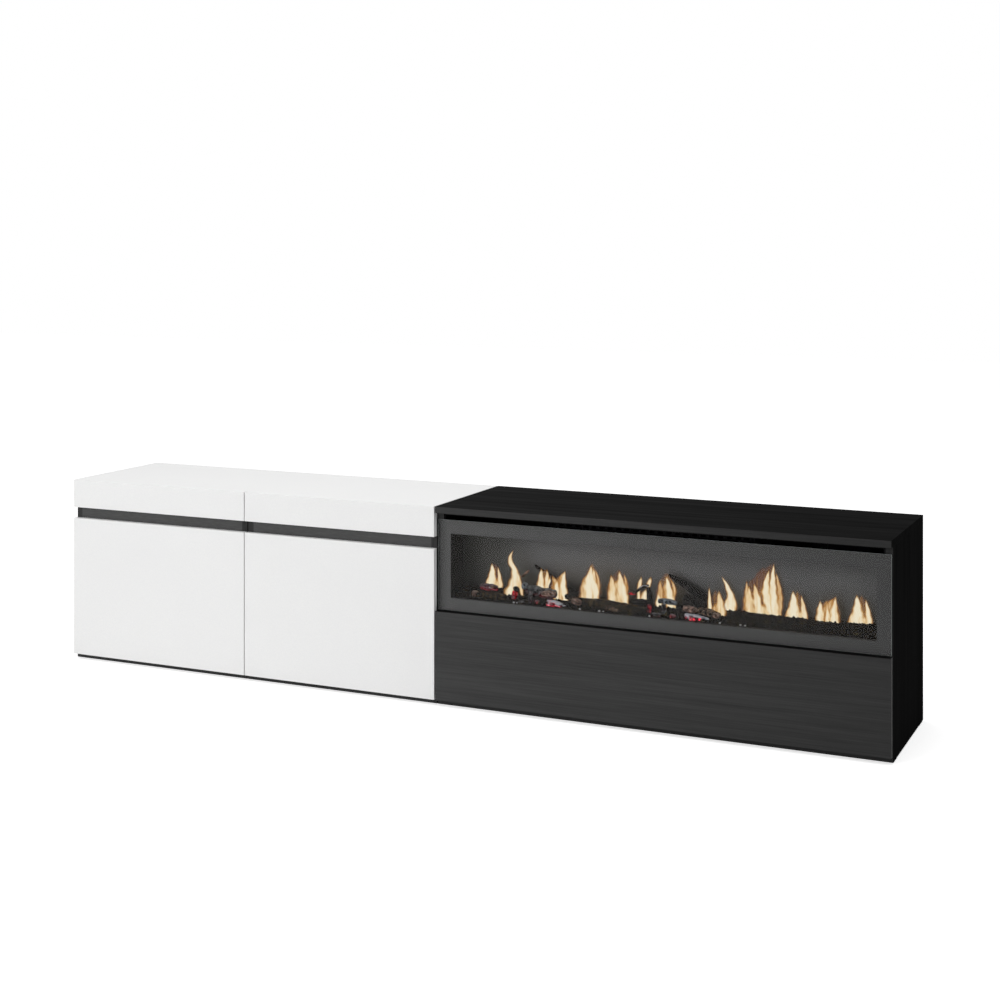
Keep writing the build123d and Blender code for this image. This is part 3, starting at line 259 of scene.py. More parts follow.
# Green glass-epoxy circuit board under solder resist.
green_board = coated("green_solder_resist", {"Roughness": 0.35, "IOR": 1.55},
                     "1B4A2C", "276039", 5, 0.9, 0.1)
# Clear self-adhesive bumpers: milky soft elastomer.
clear_rubber = coated("clear_elastomer", {"Roughness": 0.35, "IOR": 1.42, "Transmission Weight": 0.4},
                      "C4C6C7", "D2D4D5", 8, 0.8, 0.05)


def face_plate_coat():
    """Satin grey coating of the face plate, with painted shade: the grey is painted darker to the right and
    near the left edge. The folded return of the window is coated black like the firebox."""
    made, tree, shader = material("satin_grey_coated_steel",
                                  {"Roughness": 0.55, "IOR": 1.5, "Specular IOR Level": 0.2})
    place = node(tree, "TexCoord").outputs["Object"]
    along = node(tree, "SeparateXYZ", {0: place}).outputs[0]
    # Orange peel of the powder is 1.2 mm across.
    grit = node(tree, "TexNoise", {"Vector": place, "Scale": 1 / 0.0012, "Detail": 2.0}).outputs[0]
    speckle = node(tree, "MapRange", {0: grit, 3: -0.04, 4: 0.04}).outputs[0]
    # Painted shade: the grey darkens from the left end to the right end.
    run = node(tree, "MapRange", {0: along, 1: 0.0, 2: 1.3}).outputs[0]
    share = node(tree, "Math", {0: run, 1: speckle}, operation="ADD").outputs[0]
    even = node(tree, "Mix", {0: share, 6: linear("5C5C5C"), 7: linear("474747")},
                data_type="RGBA").outputs[2]
    # Painted shade: the first 28 mm at the left edge darken towards it.
    edge = node(tree, "MapRange", {0: along, 1: 0.0, 2: 0.028, 3: 0.35, 4: 1.0}).outputs[0]
    face = node(tree, "Mix", {0: edge, 6: linear("2C2C2C"), 7: even}, data_type="RGBA").outputs[2]
    front = facing(tree, 1, -1)
    colour = node(tree, "Mix", {0: front, 6: linear("1C1B19"), 7: face}, data_type="RGBA").outputs[2]
    tree.links.new(colour, shader.inputs["Base Color"])
    relief = node(tree, "Bump", {"Strength": 0.08, "Distance": 0.00015, "Height": grit}).outputs[0]
    tree.links.new(relief, shader.inputs["Normal"])
    return made


def painted_shade_screen():
    """Part-silvered smoked acrylic in an even grey, with painted shade: it is painted dark at the left end
    and towards the coals at its foot, and slowly darker to the right."""
    made, tree, shader = material("smoked_acrylic_screen",
                                  {"Roughness": 0.4, "IOR": 1.49, "Specular IOR Level": 0.2})
    place = node(tree, "TexCoord").outputs["Object"]
    axes = node(tree, "SeparateXYZ", {0: place}).outputs
    # Painted shade: dark at the left end, slowly darker to the right, and darker down towards the coals.
    left = node(tree, "MapRange", {0: axes[0], 1: 0.13, 2: 0.3},
                interpolation_type="SMOOTHSTEP").outputs[0]
    right = node(tree, "MapRange", {0: axes[0], 1: 0.45, 2: 1.35, 3: 1.0, 4: 0.65}).outputs[0]
    foot = node(tree, "MapRange", {0: axes[2], 1: 0.322, 2: 0.428, 3: 0.08, 4: 1.0}).outputs[0]
    ends = node(tree, "Math", {0: left, 1: right}, operation="MULTIPLY").outputs[0]
    clouds = node(tree, "TexNoise", {"Vector": place, "Scale": 1 / 0.22, "Detail": 2.0}).outputs[0]
    uneven = node(tree, "MapRange", {0: clouds, 1: 0.3, 2: 0.7, 3: 0.97, 4: 1.03}).outputs[0]
    painted_fade = node(tree, "Math", {0: ends, 1: uneven}, operation="MULTIPLY").outputs[0]
    share = node(tree, "Math", {0: painted_fade, 1: foot}, operation="MULTIPLY").outputs[0]
    colour = node(tree, "Mix", {0: share, 6: linear("393834"), 7: linear("666667")},
                  data_type="RGBA").outputs[2]
    tree.links.new(colour, shader.inputs["Base Color"])
    rough = node(tree, "MapRange", {0: clouds, 3: 0.36, 4: 0.44}).outputs[0]
    tree.links.new(rough, shader.inputs["Roughness"])
    return made


def toughened_glass():
    """Clear toughened sheet with a reflection-reducing coat: see-through, and its faint mirror image
    grows at a slant."""
    made, tree, shader = material("clear_toughened_glass", {})
    tree.nodes.remove(shader)
    place = node(tree, "TexCoord").outputs["Object"]
    # Roller waves of toughened glass are 300 mm apart and only bend the reflection.
    wave = node(tree, "TexNoise", {"Vector": place, "Scale": 1 / 0.3, "Detail": 1.0}).outputs[0]
    relief = node(tree, "Bump", {"Strength": 0.1, "Distance": 0.0005, "Height": wave}).outputs[0]
    # Light passes the sheet unbent, so the inner face gets the inverse of the outer one's index: leaving
    # the sheet then reflects as little as entering it, and the fire stays in sight at a slant.
    middle = sum(corner[1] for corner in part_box("front_glass")) / 2
    depth = node(tree, "SeparateXYZ", {0: place}).outputs[1]
    outer = node(tree, "Math", {0: depth, 1: middle}, operation="LESS_THAN").outputs[0]
    coat = 1.17
    index = node(tree, "MapRange", {0: outer, 3: 1 / coat, 4: coat}).outputs[0]
    shine = node(tree, "Fresnel", {"IOR": index, "Normal": relief}).outputs[0]
    through = node(tree, "BsdfTransparent", {"Color": linear("F8F8F8")}).outputs[0]
    mirror = node(tree, "BsdfGlossy",
                  {"Color": linear("FFFFFF"), "Roughness": 0.03, "Normal": relief}).outputs[0]
    sheet = node(tree, "MixShader", {0: shine, 1: through, 2: mirror}).outputs[0]
    # Ground edges scatter the light, so they show as a thin pale line around the sheet.
    ahead = node(tree, "SeparateXYZ", {0: node(tree, "TexCoord").outputs["Normal"]}).outputs[1]
    flat = node(tree, "Math", {0: ahead}, operation="ABSOLUTE").outputs[0]
    rim = node(tree, "MapRange", {0: flat, 1: 0.95, 2: 0.6}).outputs[0]
    ground = node(tree, "BsdfDiffuse", {"Color": linear("949A98")}).outputs[0]
    both = node(tree, "MixShader", {0: rim, 1: sheet, 2: ground}).outputs[0]
    tree.links.new(both, tree.nodes["Material Output"].inputs["Surface"])
    return made


def charred_wood(name, dark, light, ash, ember):
    """Moulded resin painted as burnt wood: bark in two tones, grey ash on top and embers in the cracks."""
    made, tree, shader = material(name, {"Roughness": 0.9, "IOR": 1.5, "Specular IOR Level": 0.2})
    place = node(tree, "TexCoord").outputs["Object"]
    # Bark flakes are 7 mm wide and painted specks 3 mm: they are drawn 13 and 7.5 mm wide, to show.
    flakes = node(tree, "TexVoronoi", {"Vector": place, "Scale": 1 / 0.013},
                  feature="F1").outputs["Distance"]
    specks = node(tree, "TexNoise", {"Vector": place, "Scale": 1 / 0.0075, "Detail": 4.0}).outputs[0]
    share = node(tree, "MapRange", {0: specks, 1: 0.48, 2: 0.63}).outputs[0]
    bark = node(tree, "Mix", {0: share, 6: linear(dark), 7: linear(light)}, data_type="RGBA").outputs[2]
    dusted = node(tree, "Attribute", attribute_name="ash").outputs["Fac"]
    coat = node(tree, "Mix", {0: dusted, 6: bark, 7: linear(ash)}, data_type="RGBA").outputs[2]
    tree.links.new(coat, shader.inputs["Base Color"])
    glow = node(tree, "Attribute", attribute_name="glow").outputs["Fac"]
    cracks = node(tree, "MapRange", {0: flakes, 1: 0.2, 2: 0.75}).outputs[0]
    heat = node(tree, "Math", {0: glow, 1: cracks}, operation="MULTIPLY").outputs[0]
    tree.links.new(heat, shader.inputs["Emission Strength"])
    shader.inputs["Emission Color"].default_value = linear(ember)
    height = node(tree, "Math", {0: flakes, 1: specks}, operation="ADD").outputs[0]
    relief = node(tree, "Bump", {"Strength": 0.7, "Distance": 0.002, "Height": height}).outputs[0]
    tree.links.new(relief, shader.inputs["Normal"])
    return made


def flame_light():
    """The light of the flames on the screen: cream cores that turn amber, then brown, and fade out."""
    made, tree, shader = material("flame_light_on_screen", {})
    tree.nodes.remove(shader)
    hue = node(tree, "Attribute", attribute_name="hue").outputs["Fac"]
    cover = node(tree, "Attribute", attribute_name="cover").outputs["Fac"]
    place = node(tree, "TexCoord").outputs["Object"]
    # Streaks of gas rise through each flame, 8 mm wide and 60 mm long.
    run = node(tree, "Mapping", {"Vector": place, "Scale": (1 / 0.008, 1.0, 1 / 0.06)}).outputs[0]
    streak = node(tree, "TexNoise",
                  {"Vector": run, "Scale": 1.0, "Detail": 2.0, "Distortion": 0.5}).outputs[0]
    drift = node(tree, "MapRange", {0: streak, 1: 0.3, 2: 0.7, 3: -0.38, 4: 0.22}).outputs[0]
    warm = node(tree, "Math", {0: hue, 1: drift}, operation="ADD").outputs[0]
    first = node(tree, "MapRange", {0: warm, 1: 0.0, 2: 0.5}).outputs[0]
    second = node(tree, "MapRange", {0: warm, 1: 0.5, 2: 1.0}).outputs[0]
    third = node(tree, "MapRange", {0: warm, 1: 1.0, 2: 1.5}).outputs[0]
    pale = node(tree, "Mix", {0: first, 6: linear("F6EBCF"), 7: linear("EED2A2")},
                data_type="RGBA").outputs[2]
    amber = node(tree, "Mix", {0: second, 6: pale, 7: linear("B98546")}, data_type="RGBA").outputs[2]
    brown = node(tree, "Mix", {0: third, 6: amber, 7: linear("6E4E40")}, data_type="RGBA").outputs[2]
    light = node(tree, "Emission", {"Color": brown, "Strength": 1.0}).outputs[0]
    clear = node(tree, "BsdfTransparent").outputs[0]
    both = node(tree, "MixShader", {0: cover, 1: clear, 2: light}).outputs[0]
    tree.links.new(both, tree.nodes["Material Output"].inputs["Surface"])
    return made


plate_coat = face_plate_coat()
FINISHES = (
    (white_melamine, "left_door middle_door left_fascia middle_fascia white_top"),
    (black_front, "drawer_front"),
    (black_top, "black_top insert_shelf black_cabinet_bottom left_cabinet_bottom middle_cabinet_bottom "
                "shelves"),
    (black_side, "black_cabinet_left_side black_cabinet_right_side left_cabinet_outer_side "
                 "left_cabinet_inner_side middle_cabinet_left_side middle_cabinet_right_side"),
    (graphite, "groove_rails"),
    (drawer_board, "drawer_walls drawer_bottom"),
    (hardboard, "left_cabinet_back middle_cabinet_back black_cabinet_back"),
    (zinc, "left_hinge_cups middle_hinge_cups hinge_arms runner_cabinet_members runner_middle_members "
           "runner_drawer_members linking_bolts rotor_motor"),
    (black_coat, "insert_housing housing_back_cover rotor_brackets blower_motor"),
    (plate_coat, "front_frame"),
    (liner_coat, "firebox_liner"),
    (toughened_glass(), "front_glass"),
    (painted_shade_screen(), "flame_screen"),
    (aluminium, "flicker_rotor"),
    (dark_fins, "heater_element"),
    (slot_shade_black, "control_panel outlet_grille flame_button heat_button power_rocker"),
    (black_abs, "blower_duct blower_wheel inlet_gland push_latch_body push_latch_plunger shelf_supports "
                "floor_glides"),
    (green_board, "control_board led_strips"),
    (clear_rubber, "front_bumpers"),
)
for finish, names in FINISHES:
    for name in names.split():
        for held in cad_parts[name].material_slots:
            held.material = finish


# ---------------------------------------------------------------- face plate and dust filter


def rectangle_loop(x, y, z, steps=12):
    """Points around an upright rectangle, steps of them along each side."""
    share = np.linspace(0, 1, steps, endpoint=False)
    across = np.r_[x[0] + (x[1] - x[0]) * share, np.full(steps, x[1]), x[1] + (x[0] - x[1]) * share,
                   np.full(steps, x[0])]
    up = np.r_[np.full(steps, z[0]), z[0] + (z[1] - z[0]) * share, np.full(steps, z[1]),
               z[1] + (z[0] - z[1]) * share]
    return np.stack([across, np.full(4 * steps, float(y)), up], axis=-1)


def face_plate_skin():
    """The face plate as one closed section carried around the window: out along the front, round the
    edge, back along the rear, and through the folded return with a small rolled corner."""
    low, high = np.array(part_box("front_frame")) / MM
    # Widths of the border around the window.
    left, right, below, above = 39.0, 38.5, 34.6, 40.0
    window_x, window_z = (low[0] + left, high[0] - right), (low[2] + below, high[2] - above)
    front, steel, roll = low[1], 1.2, 0.8
    # Stations of the section: how far out from the window, how deep, and whether it is on the rim.
    section = [(0.0, front, True), (0.0, front + steel, True), (steel, front + steel, False),
               (steel, high[1], False), (0.0, high[1], False), (0.0, front + roll, False),
               (0.24 * roll, front + 0.24 * roll, False), (roll, front, False)]
    rows = []
    for out, y, rim in section + section[:1]:
        if rim:
            x, z = (low[0], high[0]), (low[2], high[2])
        else:
            x, z = (window_x[0] - out, window_x[1] + out), (window_z[0] - out, window_z[1] + out)
        rows.append(rectangle_loop(x, y, z))
    return np.array(rows), True, False, {}


plate = grids_to_mesh("face_plate", [face_plate_skin()], "cabinet", plate_coat)
plate.data.polygons.foreach_set("use_smooth", np.zeros(len(plate.data.polygons), bool))
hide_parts("front_frame")


def filter_skin():
    """A pleated strip carried along x: its section is a thin upright rectangle that sways to and fro
    by a sine wave with the pleats."""
    x = np.arange(60.0, 1236.0, 2.0)[:, None]
    low, high = np.array(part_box("housing_back_cover")) / MM
    cloth, pleat, sway = 1.0, 12, 1.5
    y = low[1] - 4.5 + sway * np.sin(2 * np.pi * x / pleat) + np.array([0.0, cloth, cloth, 0.0])
    foot, top = high[2] - 44.0, high[2] - 5.0
    z = np.array([foot, foot, top, top]) + 0 * x
    return np.stack([x + 0 * y, y, z], axis=-1), True, True, {}


# Black needle felt of the dust filter inside the upper vents: soft, lint-rough and dull.
felt = coated("black_needle_felt", {"Roughness": 0.95, "IOR": 1.5, "Specular IOR Level": 0.05},
              "0B0B0B", "151515", 9, 1.0, 0.5)
grids_to_mesh("vent_dust_filter", [filter_skin()], "cabinet", felt)


# ---------------------------------------------------------------- the fire

screen_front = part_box("flame_screen")[0][1] / MM
bed_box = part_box("ember_bed")

# Each flame stands some mm ahead of the screen and is a few tongues that lie over each other in turn.
# A tongue: warmth from 0 (cream) to 1 (amber) and 1.5 (brown haze); x and z of its foot; its height and
# half width; how far its tip leans along x; how far its middle bows aside; and the share of the height
# where it is widest.
CROWN = (
    (1.3, 7, 1, 70, 25, -1, 0, 0.0),
    (0.55, -22, 1, 38, 8, 13, 0, 0.0),
    (0.4, 10, -2, 25, 23, 2, 0, 0.0),
    (0.35, 26, 0, 63, 9, -10, 1, 0.0),
    (0.0, -8, 0, 72, 17, 2, 3, 0.0),
)


def crown(x, z, scale):
    """The flame with one cream and one amber point that comes back along the fire, placed and scaled."""
    return tuple((warmth, x + scale * aside, z + scale * up, *(scale * size for size in sizes), belly)
                 for warmth, aside, up, *sizes, belly in CROWN)


FLAMES = {
    "A": (0.6, crown(130, 343, 0.85)),
    "B": (50.0, (
        (0.35, 243, 329, 60, 8, -14, 0, 0.5),
        (0.1, 205, 333, 97, 20, 2, 16, 0.0),
        (0.15, 221, 398, 59, 9, -5, -13, 0.1),
    )),
    "C": (50.0, (
        (1.3, 315, 360, 50, 20, 0, 0, 0.1),
        (0.35, 320, 358, 55, 10, 0, 0, 0.0),
        (0.05, 330, 358, 35, 10, 0, 0, 0.0),
        (0.1, 300, 358, 55, 12, 3, 0, 0.0),
    )),
    "D": (50.0, (
        (0.9, 345, 355, 40, 15, -10, 5, 0.1),
        (0.8, 360, 350, 60, 18, 15, -5, 0.25),
        (0.15, 350, 355, 25, 8, 0, 0, 0.0),
        (0.1, 375, 335, 75, 11, 0, -5, 0.2),
    )),
    "E": (56.0, (
        (1.4, 456, 354, 86, 29, 3, 0, 0.1),
        (0.9, 477, 351, 76, 5, -10, 6, 0.4),
        (0.8, 433, 352, 44, 12, 0, 0, 0.0),
        (0.5, 466, 354, 74, 11, -2, 0, 0.3),
        (0.2, 452, 376, 60, 11, 4, 0, 0.1),
        (0.0, 450, 352, 66, 20, 2, 0, 0.4),
        (0.0, 470, 349, 46, 12, -5, 0, 0.4),
    )),
    "F": (56.0, (
        (1.35, 535, 352, 78, 31, 5, -2, 0.1),
        (0.95, 510, 350, 62, 7, 6, 1, 0.3),
        (0.6, 537, 361, 40, 24, -1, 0, 0.3),
        (0.85, 560, 362, 58, 7, -7, 4, 0.3),
        (0.3, 518, 346, 68, 13, -2, 2, 0.0),
        (0.1, 557, 338, 88, 14, -17, -1, 0.3),
    )),
    "G": (0.6, (
        (0.2, 596, 347, 24, 16, 6, 0, 0.0),
        (0.3, 577, 366, 38, 7, 8, 0, 0.3),
        (0.3, 605, 374, 32, 7, 8, 0, 0.4),
    )),
    "H": (38.0, (
        (1.3, 671, 350, 78, 27, 0, 0, 0.3),
        (0.95, 669, 356, 46, 17, 1, 0, 0.3),
        (0.85, 654, 340, 66, 11, -1, 0, 0.3),
        (0.9, 693, 360, 55, 6, -12, 6, 0.4),
        (0.2, 693, 334, 18, 10, -4, 0, 0.0),
        (0.1, 651, 336, 32, 11, -4, 0, 0.0),
        (0.15, 683, 359, 60, 12, -13, 1, 0.0),
    )),
    "I": (50.0, (
        (1.3, 820, 335, 60, 20, -5, 0, 0.1),
        (0.7, 820, 330, 30, 18, -5, 0, 0.1),
        (0.5, 830, 335, 60, 15, -5, 0, 0.0),
        (0.2, 800, 328, 75, 7, -3, 0, 0.0),
    )),
    "J": (14.0, (
        (0.95, 857, 337, 44, 7, -6, 4, 0.1),
        (0.85, 840, 330, 30, 20, 0, 0, 0.1),
        (0.1, 836, 332, 45, 18, 8, 0, 0.0),
        (0.05, 850, 334, 92, 12, -28, 9, 0.2),
    )),
    "K": (8.0, (
        (1.5, 935, 340, 130, 50, 25, -15, 0.1),
        (1.5, 925, 345, 115, 30, 10, -5, 0.3),
        (0.75, 980, 340, 110, 9, -10, 6, 0.2),
        (0.85, 890, 340, 80, 12, 0, 0, 0.0),
        (0.5, 900, 336, 70, 15, -5, 0, 0.0),
        (0.6, 940, 336, 25, 15, -5, 0, 0.0),
        (0.25, 925, 336, 80, 15, -15, 0, 0.0),
        (0.1, 960, 338, 115, 15, -8, -12, 0.2),
        (0.05, 970, 338, 135, 12, -5, -5, 0.2),
    )),
    "L": (14.0, crown(1025, 333, 1.0)),
    "M": (24.0, (
        (1.3, 1120, 333, 65, 28, 12, -5, 0.2),
        (0.95, 1110, 336, 55, 25, 8, 0, 0.5),
        (0.85, 1115, 330, 72, 20, 22, -10, 0.2),
        (0.15, 1095, 333, 55, 12, 0, 0, 0.0),
        (0.2, 1115, 332, 40, 8, 0, 0, 0.0),
        (0.2, 1135, 330, 70, 14, 2, -3, 0.0),
    )),
    "N": (10.0, crown(1195, 333, 1.05)),
}


def tongue_lines(tongue, z):
    """Centre, half width and share of the height t of a tongue at the heights z. The centre is at
    x + lean t + bow sin(pi t). The half width grows along a quarter sine from (1 - belly) of itself at
    the foot to all of it at the belly, then falls along a quarter cosine to nothing at the tip."""
    _, foot_x, foot_z, height, half, lean, bow, belly = tongue
    t = np.clip((z - foot_z) / height, 0, 1)
    centre = foot_x + lean * t + bow * np.sin(np.pi * t)
    swell = 1 - belly + belly * np.sin(np.pi / 2 * np.clip(t / max(belly, 0.01), 0, 1))
    taper = np.cos(np.pi / 2 * np.clip((t - belly) / (1 - belly), 0, 1)) ** 0.9
    return centre, half * swell * taper, t


def flame_sheet(tongues, ahead):
    """One flame as a flat sheet of 1 mm cells. Each tongue covers the points whose distance from its
    curved centre line is less than about its half width there, softly at the rim. A thin brown glow a
    little wider than each lies under them all, and they lie over each other in the order they are given."""
    foot_x, foot_z, height, half, lean, bow = np.array(tongues).T[1:7]
    reach = half + np.abs(bow) + 3
    left = (foot_x + np.minimum(lean, 0) - reach).min()
    right = (foot_x + np.maximum(lean, 0) + reach).max()
    x = np.arange(left, right, 1.0)
    z = np.arange(foot_z.min() - 8, (foot_z + height).max() + 5, 1.0)
    grid_x, grid_z = np.meshgrid(x, z)
    cover = np.zeros_like(grid_x)
    brown, glow_tone = 1.5, 1.35
    hue = np.full_like(grid_x, brown)
    for halo, tongue in [(True, tongue) for tongue in tongues] + [(False, tongue) for tongue in tongues]:
        warmth, tip = tongue[0], tongue[2] + tongue[3]
        centre, half, share = tongue_lines(tongue, grid_z)
        # The hot air makes each tongue waver a little, every 25 mm of its height.
        centre += 0.08 * half * np.sin(grid_z / 4.0 + warmth * 9)
        away = np.abs(grid_x - centre)
        if halo:
            body = 0.3 * np.clip((half + 3.2 - away) / 4.0, 0, 1) * np.clip((tip + 4 - grid_z) / 9, 0, 1)
            tone = np.full_like(hue, glow_tone)
        else:
            away /= np.maximum(half, 0.6)
            body = np.clip((1.3 - away) / (0.75 if warmth < 1 else 1.1), 0, 1)
            body *= np.clip((tip + 1.5 - grid_z) / 14, 0, 1) ** 0.8
            body = (0.5 if warmth > 1.2 else 1.0) * body ** 1.2
            tone = warmth + 0.85 * np.clip(away, 0, 1.3) ** 3 + 0.3 * np.clip(share - 0.6, 0, 1)
        hue = hue * (1 - body) + tone * body
        cover = 1 - (1 - cover) * (1 - body)
    depth = np.full_like(grid_x, screen_front - ahead)
    points = np.stack([grid_x, depth, grid_z], axis=-1)
    return points, False, False, {"hue": hue, "cover": cover, "keep": cover > 0.02}


flame_finish = flame_light()
for letter, (ahead, tongues) in FLAMES.items():
    grids_to_mesh("flame_" + letter, [flame_sheet(tongues, ahead)], "cabinet",
                  flame_finish)

# Logs, twigs and lumps of the two moulded sets: paint, the x, y, z of both ends and the radius in mm,
# how far the middle is raised, and the taper: the share of the radius that the second end has over
# the first.
LOGS = {
    "left_bark_log": ("red_bark", (108, -150, 341), (163, -150, 341), 9, 2, 0),
    "left_low_log": ("olive_bark", (95, -170, 322), (200, -170, 322), 10.5, 1, 0),
    "left_ember_block": ("ember", (224, -164, 342), (219, -164, 318), 8.5, 0, 0.2),
    "left_block_cap": ("dark_char", (219, -160, 345), (232, -160, 339), 8, 4, 0),
    "left_tan_end": ("tan_wood", (95, -175, 325), (109, -175, 325), 9, 1, 0),
    "left_white_fleck": ("ash_lump", (141, -161, 344), (153, -161, 345), 2, 0, 0),
    "left_tan_chip": ("tan_wood", (146, -162, 345), (159, -162, 348), 4, 0, 0),
    "left_grey_log": ("grey_char", (255, -158, 350), (352, -158, 342), 14, -1, 0),
    "left_round_end": ("blue_char", (246, -164, 357), (262, -164, 357), 9.5, 1, 0),
    "left_tan_side": ("tan_wood", (308, -169, 342), (352, -169, 345), 8.5, 1, 0),
    "left_ash_lump": ("ash_cover", (326, -174, 319), (376, -174, 314), 9.5, 1, -0.2),
    "left_ash_tail": ("ash_lump", (370, -175, 315), (391, -175, 313), 3.3, 0, 0),
    "left_pink_lump": ("ember", (288, -172, 317), (304, -172, 316), 7, 0, 0),
    "left_grey_streak": ("grey_char", (240, -176, 313), (257, -176, 314), 5, 0, 0),
    "left_post": ("grey_char", (275, -172, 342), (275, -172, 309), 6, 0, 0),
    "left_twig": ("tan_wood", (229, -128, 375), (252, -128, 396), 3.5, 1, 0),
    "left_branch": ("dark_char", (269, -130, 415), (396, -130, 344), 9, -7, 0.8),
    "left_brown_lump": ("tan_wood", (400, -168, 330), (428, -168, 326), 8.5, 1, 0),
    "left_dark_lump": ("dark_char", (372, -150, 337), (445, -150, 342), 13, 0, 0),
    "right_first_lump": ("brown_wood", (393, -164, 337), (422, -164, 330), 8.5, 0, 0),
    "right_bark_log": ("olive_bark", (424, -158, 329), (620, -158, 317), 15, 3, 0),
    "right_back_log": ("dark_char", (570, -140, 339), (618, -140, 340), 8, 0, 0),
    "right_leaf_twig": ("dark_char", (574, -126, 360), (614, -126, 384), 4.2, 5, 0),
    "right_red_twig": ("ember", (555, -136, 359), (577, -136, 360), 3.6, 0, 0),
    "right_stump": ("dark_char", (618, -146, 384), (628, -146, 315), 7.5, 0, 0.2),
    "right_grey_log": ("blue_char", (650, -156, 350), (706, -156, 347), 7.6, 3, 0),
    "right_grey_post": ("grey_char", (668, -162, 345), (670, -162, 310), 7, 0, 0),
    "right_black_post": ("dark_char", (711, -162, 346), (711, -162, 306), 7.5, 0, 0),
    "right_pink_lump": ("ember", (690, -172, 316), (708, -172, 313), 7.2, 0, 0),
    "right_dark_block": ("ember", (630, -166, 341), (627, -166, 318), 6, 0, 0),
    "right_front_lump": ("grey_char", (638, -176, 315), (665, -176, 316), 6, 0, 0),
    "right_branch": ("dark_char", (670, -128, 420), (798, -128, 348), 10.5, 3, 0.7),
    "right_root": ("dark_char", (719, -146, 361), (794, -146, 339), 16, 1, 0),
    "right_tan_lump": ("tan_wood", (724, -162, 338), (766, -162, 336), 9, 0, 0),
    "right_ash_lump": ("ash_cover", (733, -174, 319), (786, -174, 316), 9.5, 1, -0.2),
    "right_ash_tail": ("ash_lump", (776, -175, 323), (802, -175, 318), 3.2, 0, 0),
    "right_end_lump": ("brown_wood", (767, -164, 338), (831, -164, 326), 9.5, 2, 0),
    "right_tan_end": ("tan_wood", (812, -172, 329), (831, -172, 328), 7.5, 1, 0),
    "right_log_knot": ("brown_wood", (499, -171, 319), (540, -171, 317), 8, 2, 0),
    "right_log_end": ("tan_wood", (403, -172, 331), (425, -172, 327), 8, 1, 0),
    "right_leaf_edge": ("ash_lump", (584, -130, 372), (614, -130, 381), 1.1, 6, 0),
}


def log_skin(start, end, size, bow, taper, seed, rough, ash, glow, spread):
    """A log as rings along an arched centre line. With t from 0 at the first end to 1 at the second, the
    centre is start + (end - start) t, raised by bow sin(pi t), and the radius is size (1 - 0.3 (2t - 1)^2)
    (1 + taper (t - 1/2)), plus lengthwise bark ridges and lumps; both ends close on a small hollow."""
    rows, columns = 72, 36
    share = np.linspace(0, 1, rows)
    centre = np.array(start, float) + share[:, None] * (np.array(end, float) - start)
    centre[:, 2] += bow * np.sin(np.pi * share)
    radius = size * (1 - 0.3 * (2 * share - 1) ** 2) * (1 + taper * (share - 0.5))
    along = np.gradient(centre, axis=0)
    along /= np.linalg.norm(along, axis=1)[:, None]
    side = np.cross(along, (0.0, 0.2, 1.0))
    side /= np.linalg.norm(side, axis=1)[:, None]
    over = np.cross(side, along)
    turn = np.linspace(0, 2 * np.pi, columns, endpoint=False)
    ring = np.cos(turn)[None, :, None] * side[:, None] + np.sin(turn)[None, :, None] * over[:, None]
    skin = centre[:, None] + radius[:, None, None] * ring
    run = np.linspace(0, 1, rows)[:, None] * np.linalg.norm(centre[-1] - centre[0])
    # Bark is laid out straight and pressed to a quarter of its length, which draws its ridges long.
    around, up = (wave(turn)[None] * radius[:, None] + 0 * run for wave in (np.cos, np.sin))
    bark = np.stack([around, up, 0.25 * run + 0 * turn[None]], axis=-1)
    ridge = 1 - 2 * np.abs(lumps(bark, 0.7 * radius.mean(), seed, 3))
    knots = lumps(skin, 3.2 * radius.mean(), seed + 1, 3)
    swell = radius[:, None] * (1 + rough * (0.12 * ridge + 0.16 * knots))
    close = np.minimum(1, np.minimum(np.arange(rows), np.arange(rows)[::-1]) / 3.0)[:, None] ** 0.5
    skin = centre[:, None] + (swell * np.maximum(close, 0.05))[..., None] * ring
    upward = np.clip(ring[..., 2], 0, 1)
    dust = np.clip(ash * (upward ** 2 + 0.5 * lumps(skin, 14.0, seed + 2, 3)), 0, 1)
    hot = glow * np.clip(spread + 0.8 * lumps(skin, 12.0, seed + 3, 3) - 0.7 * ring[..., 2], 0, 1)
    return skin, True, True, {"ash": dust, "glow": hot}


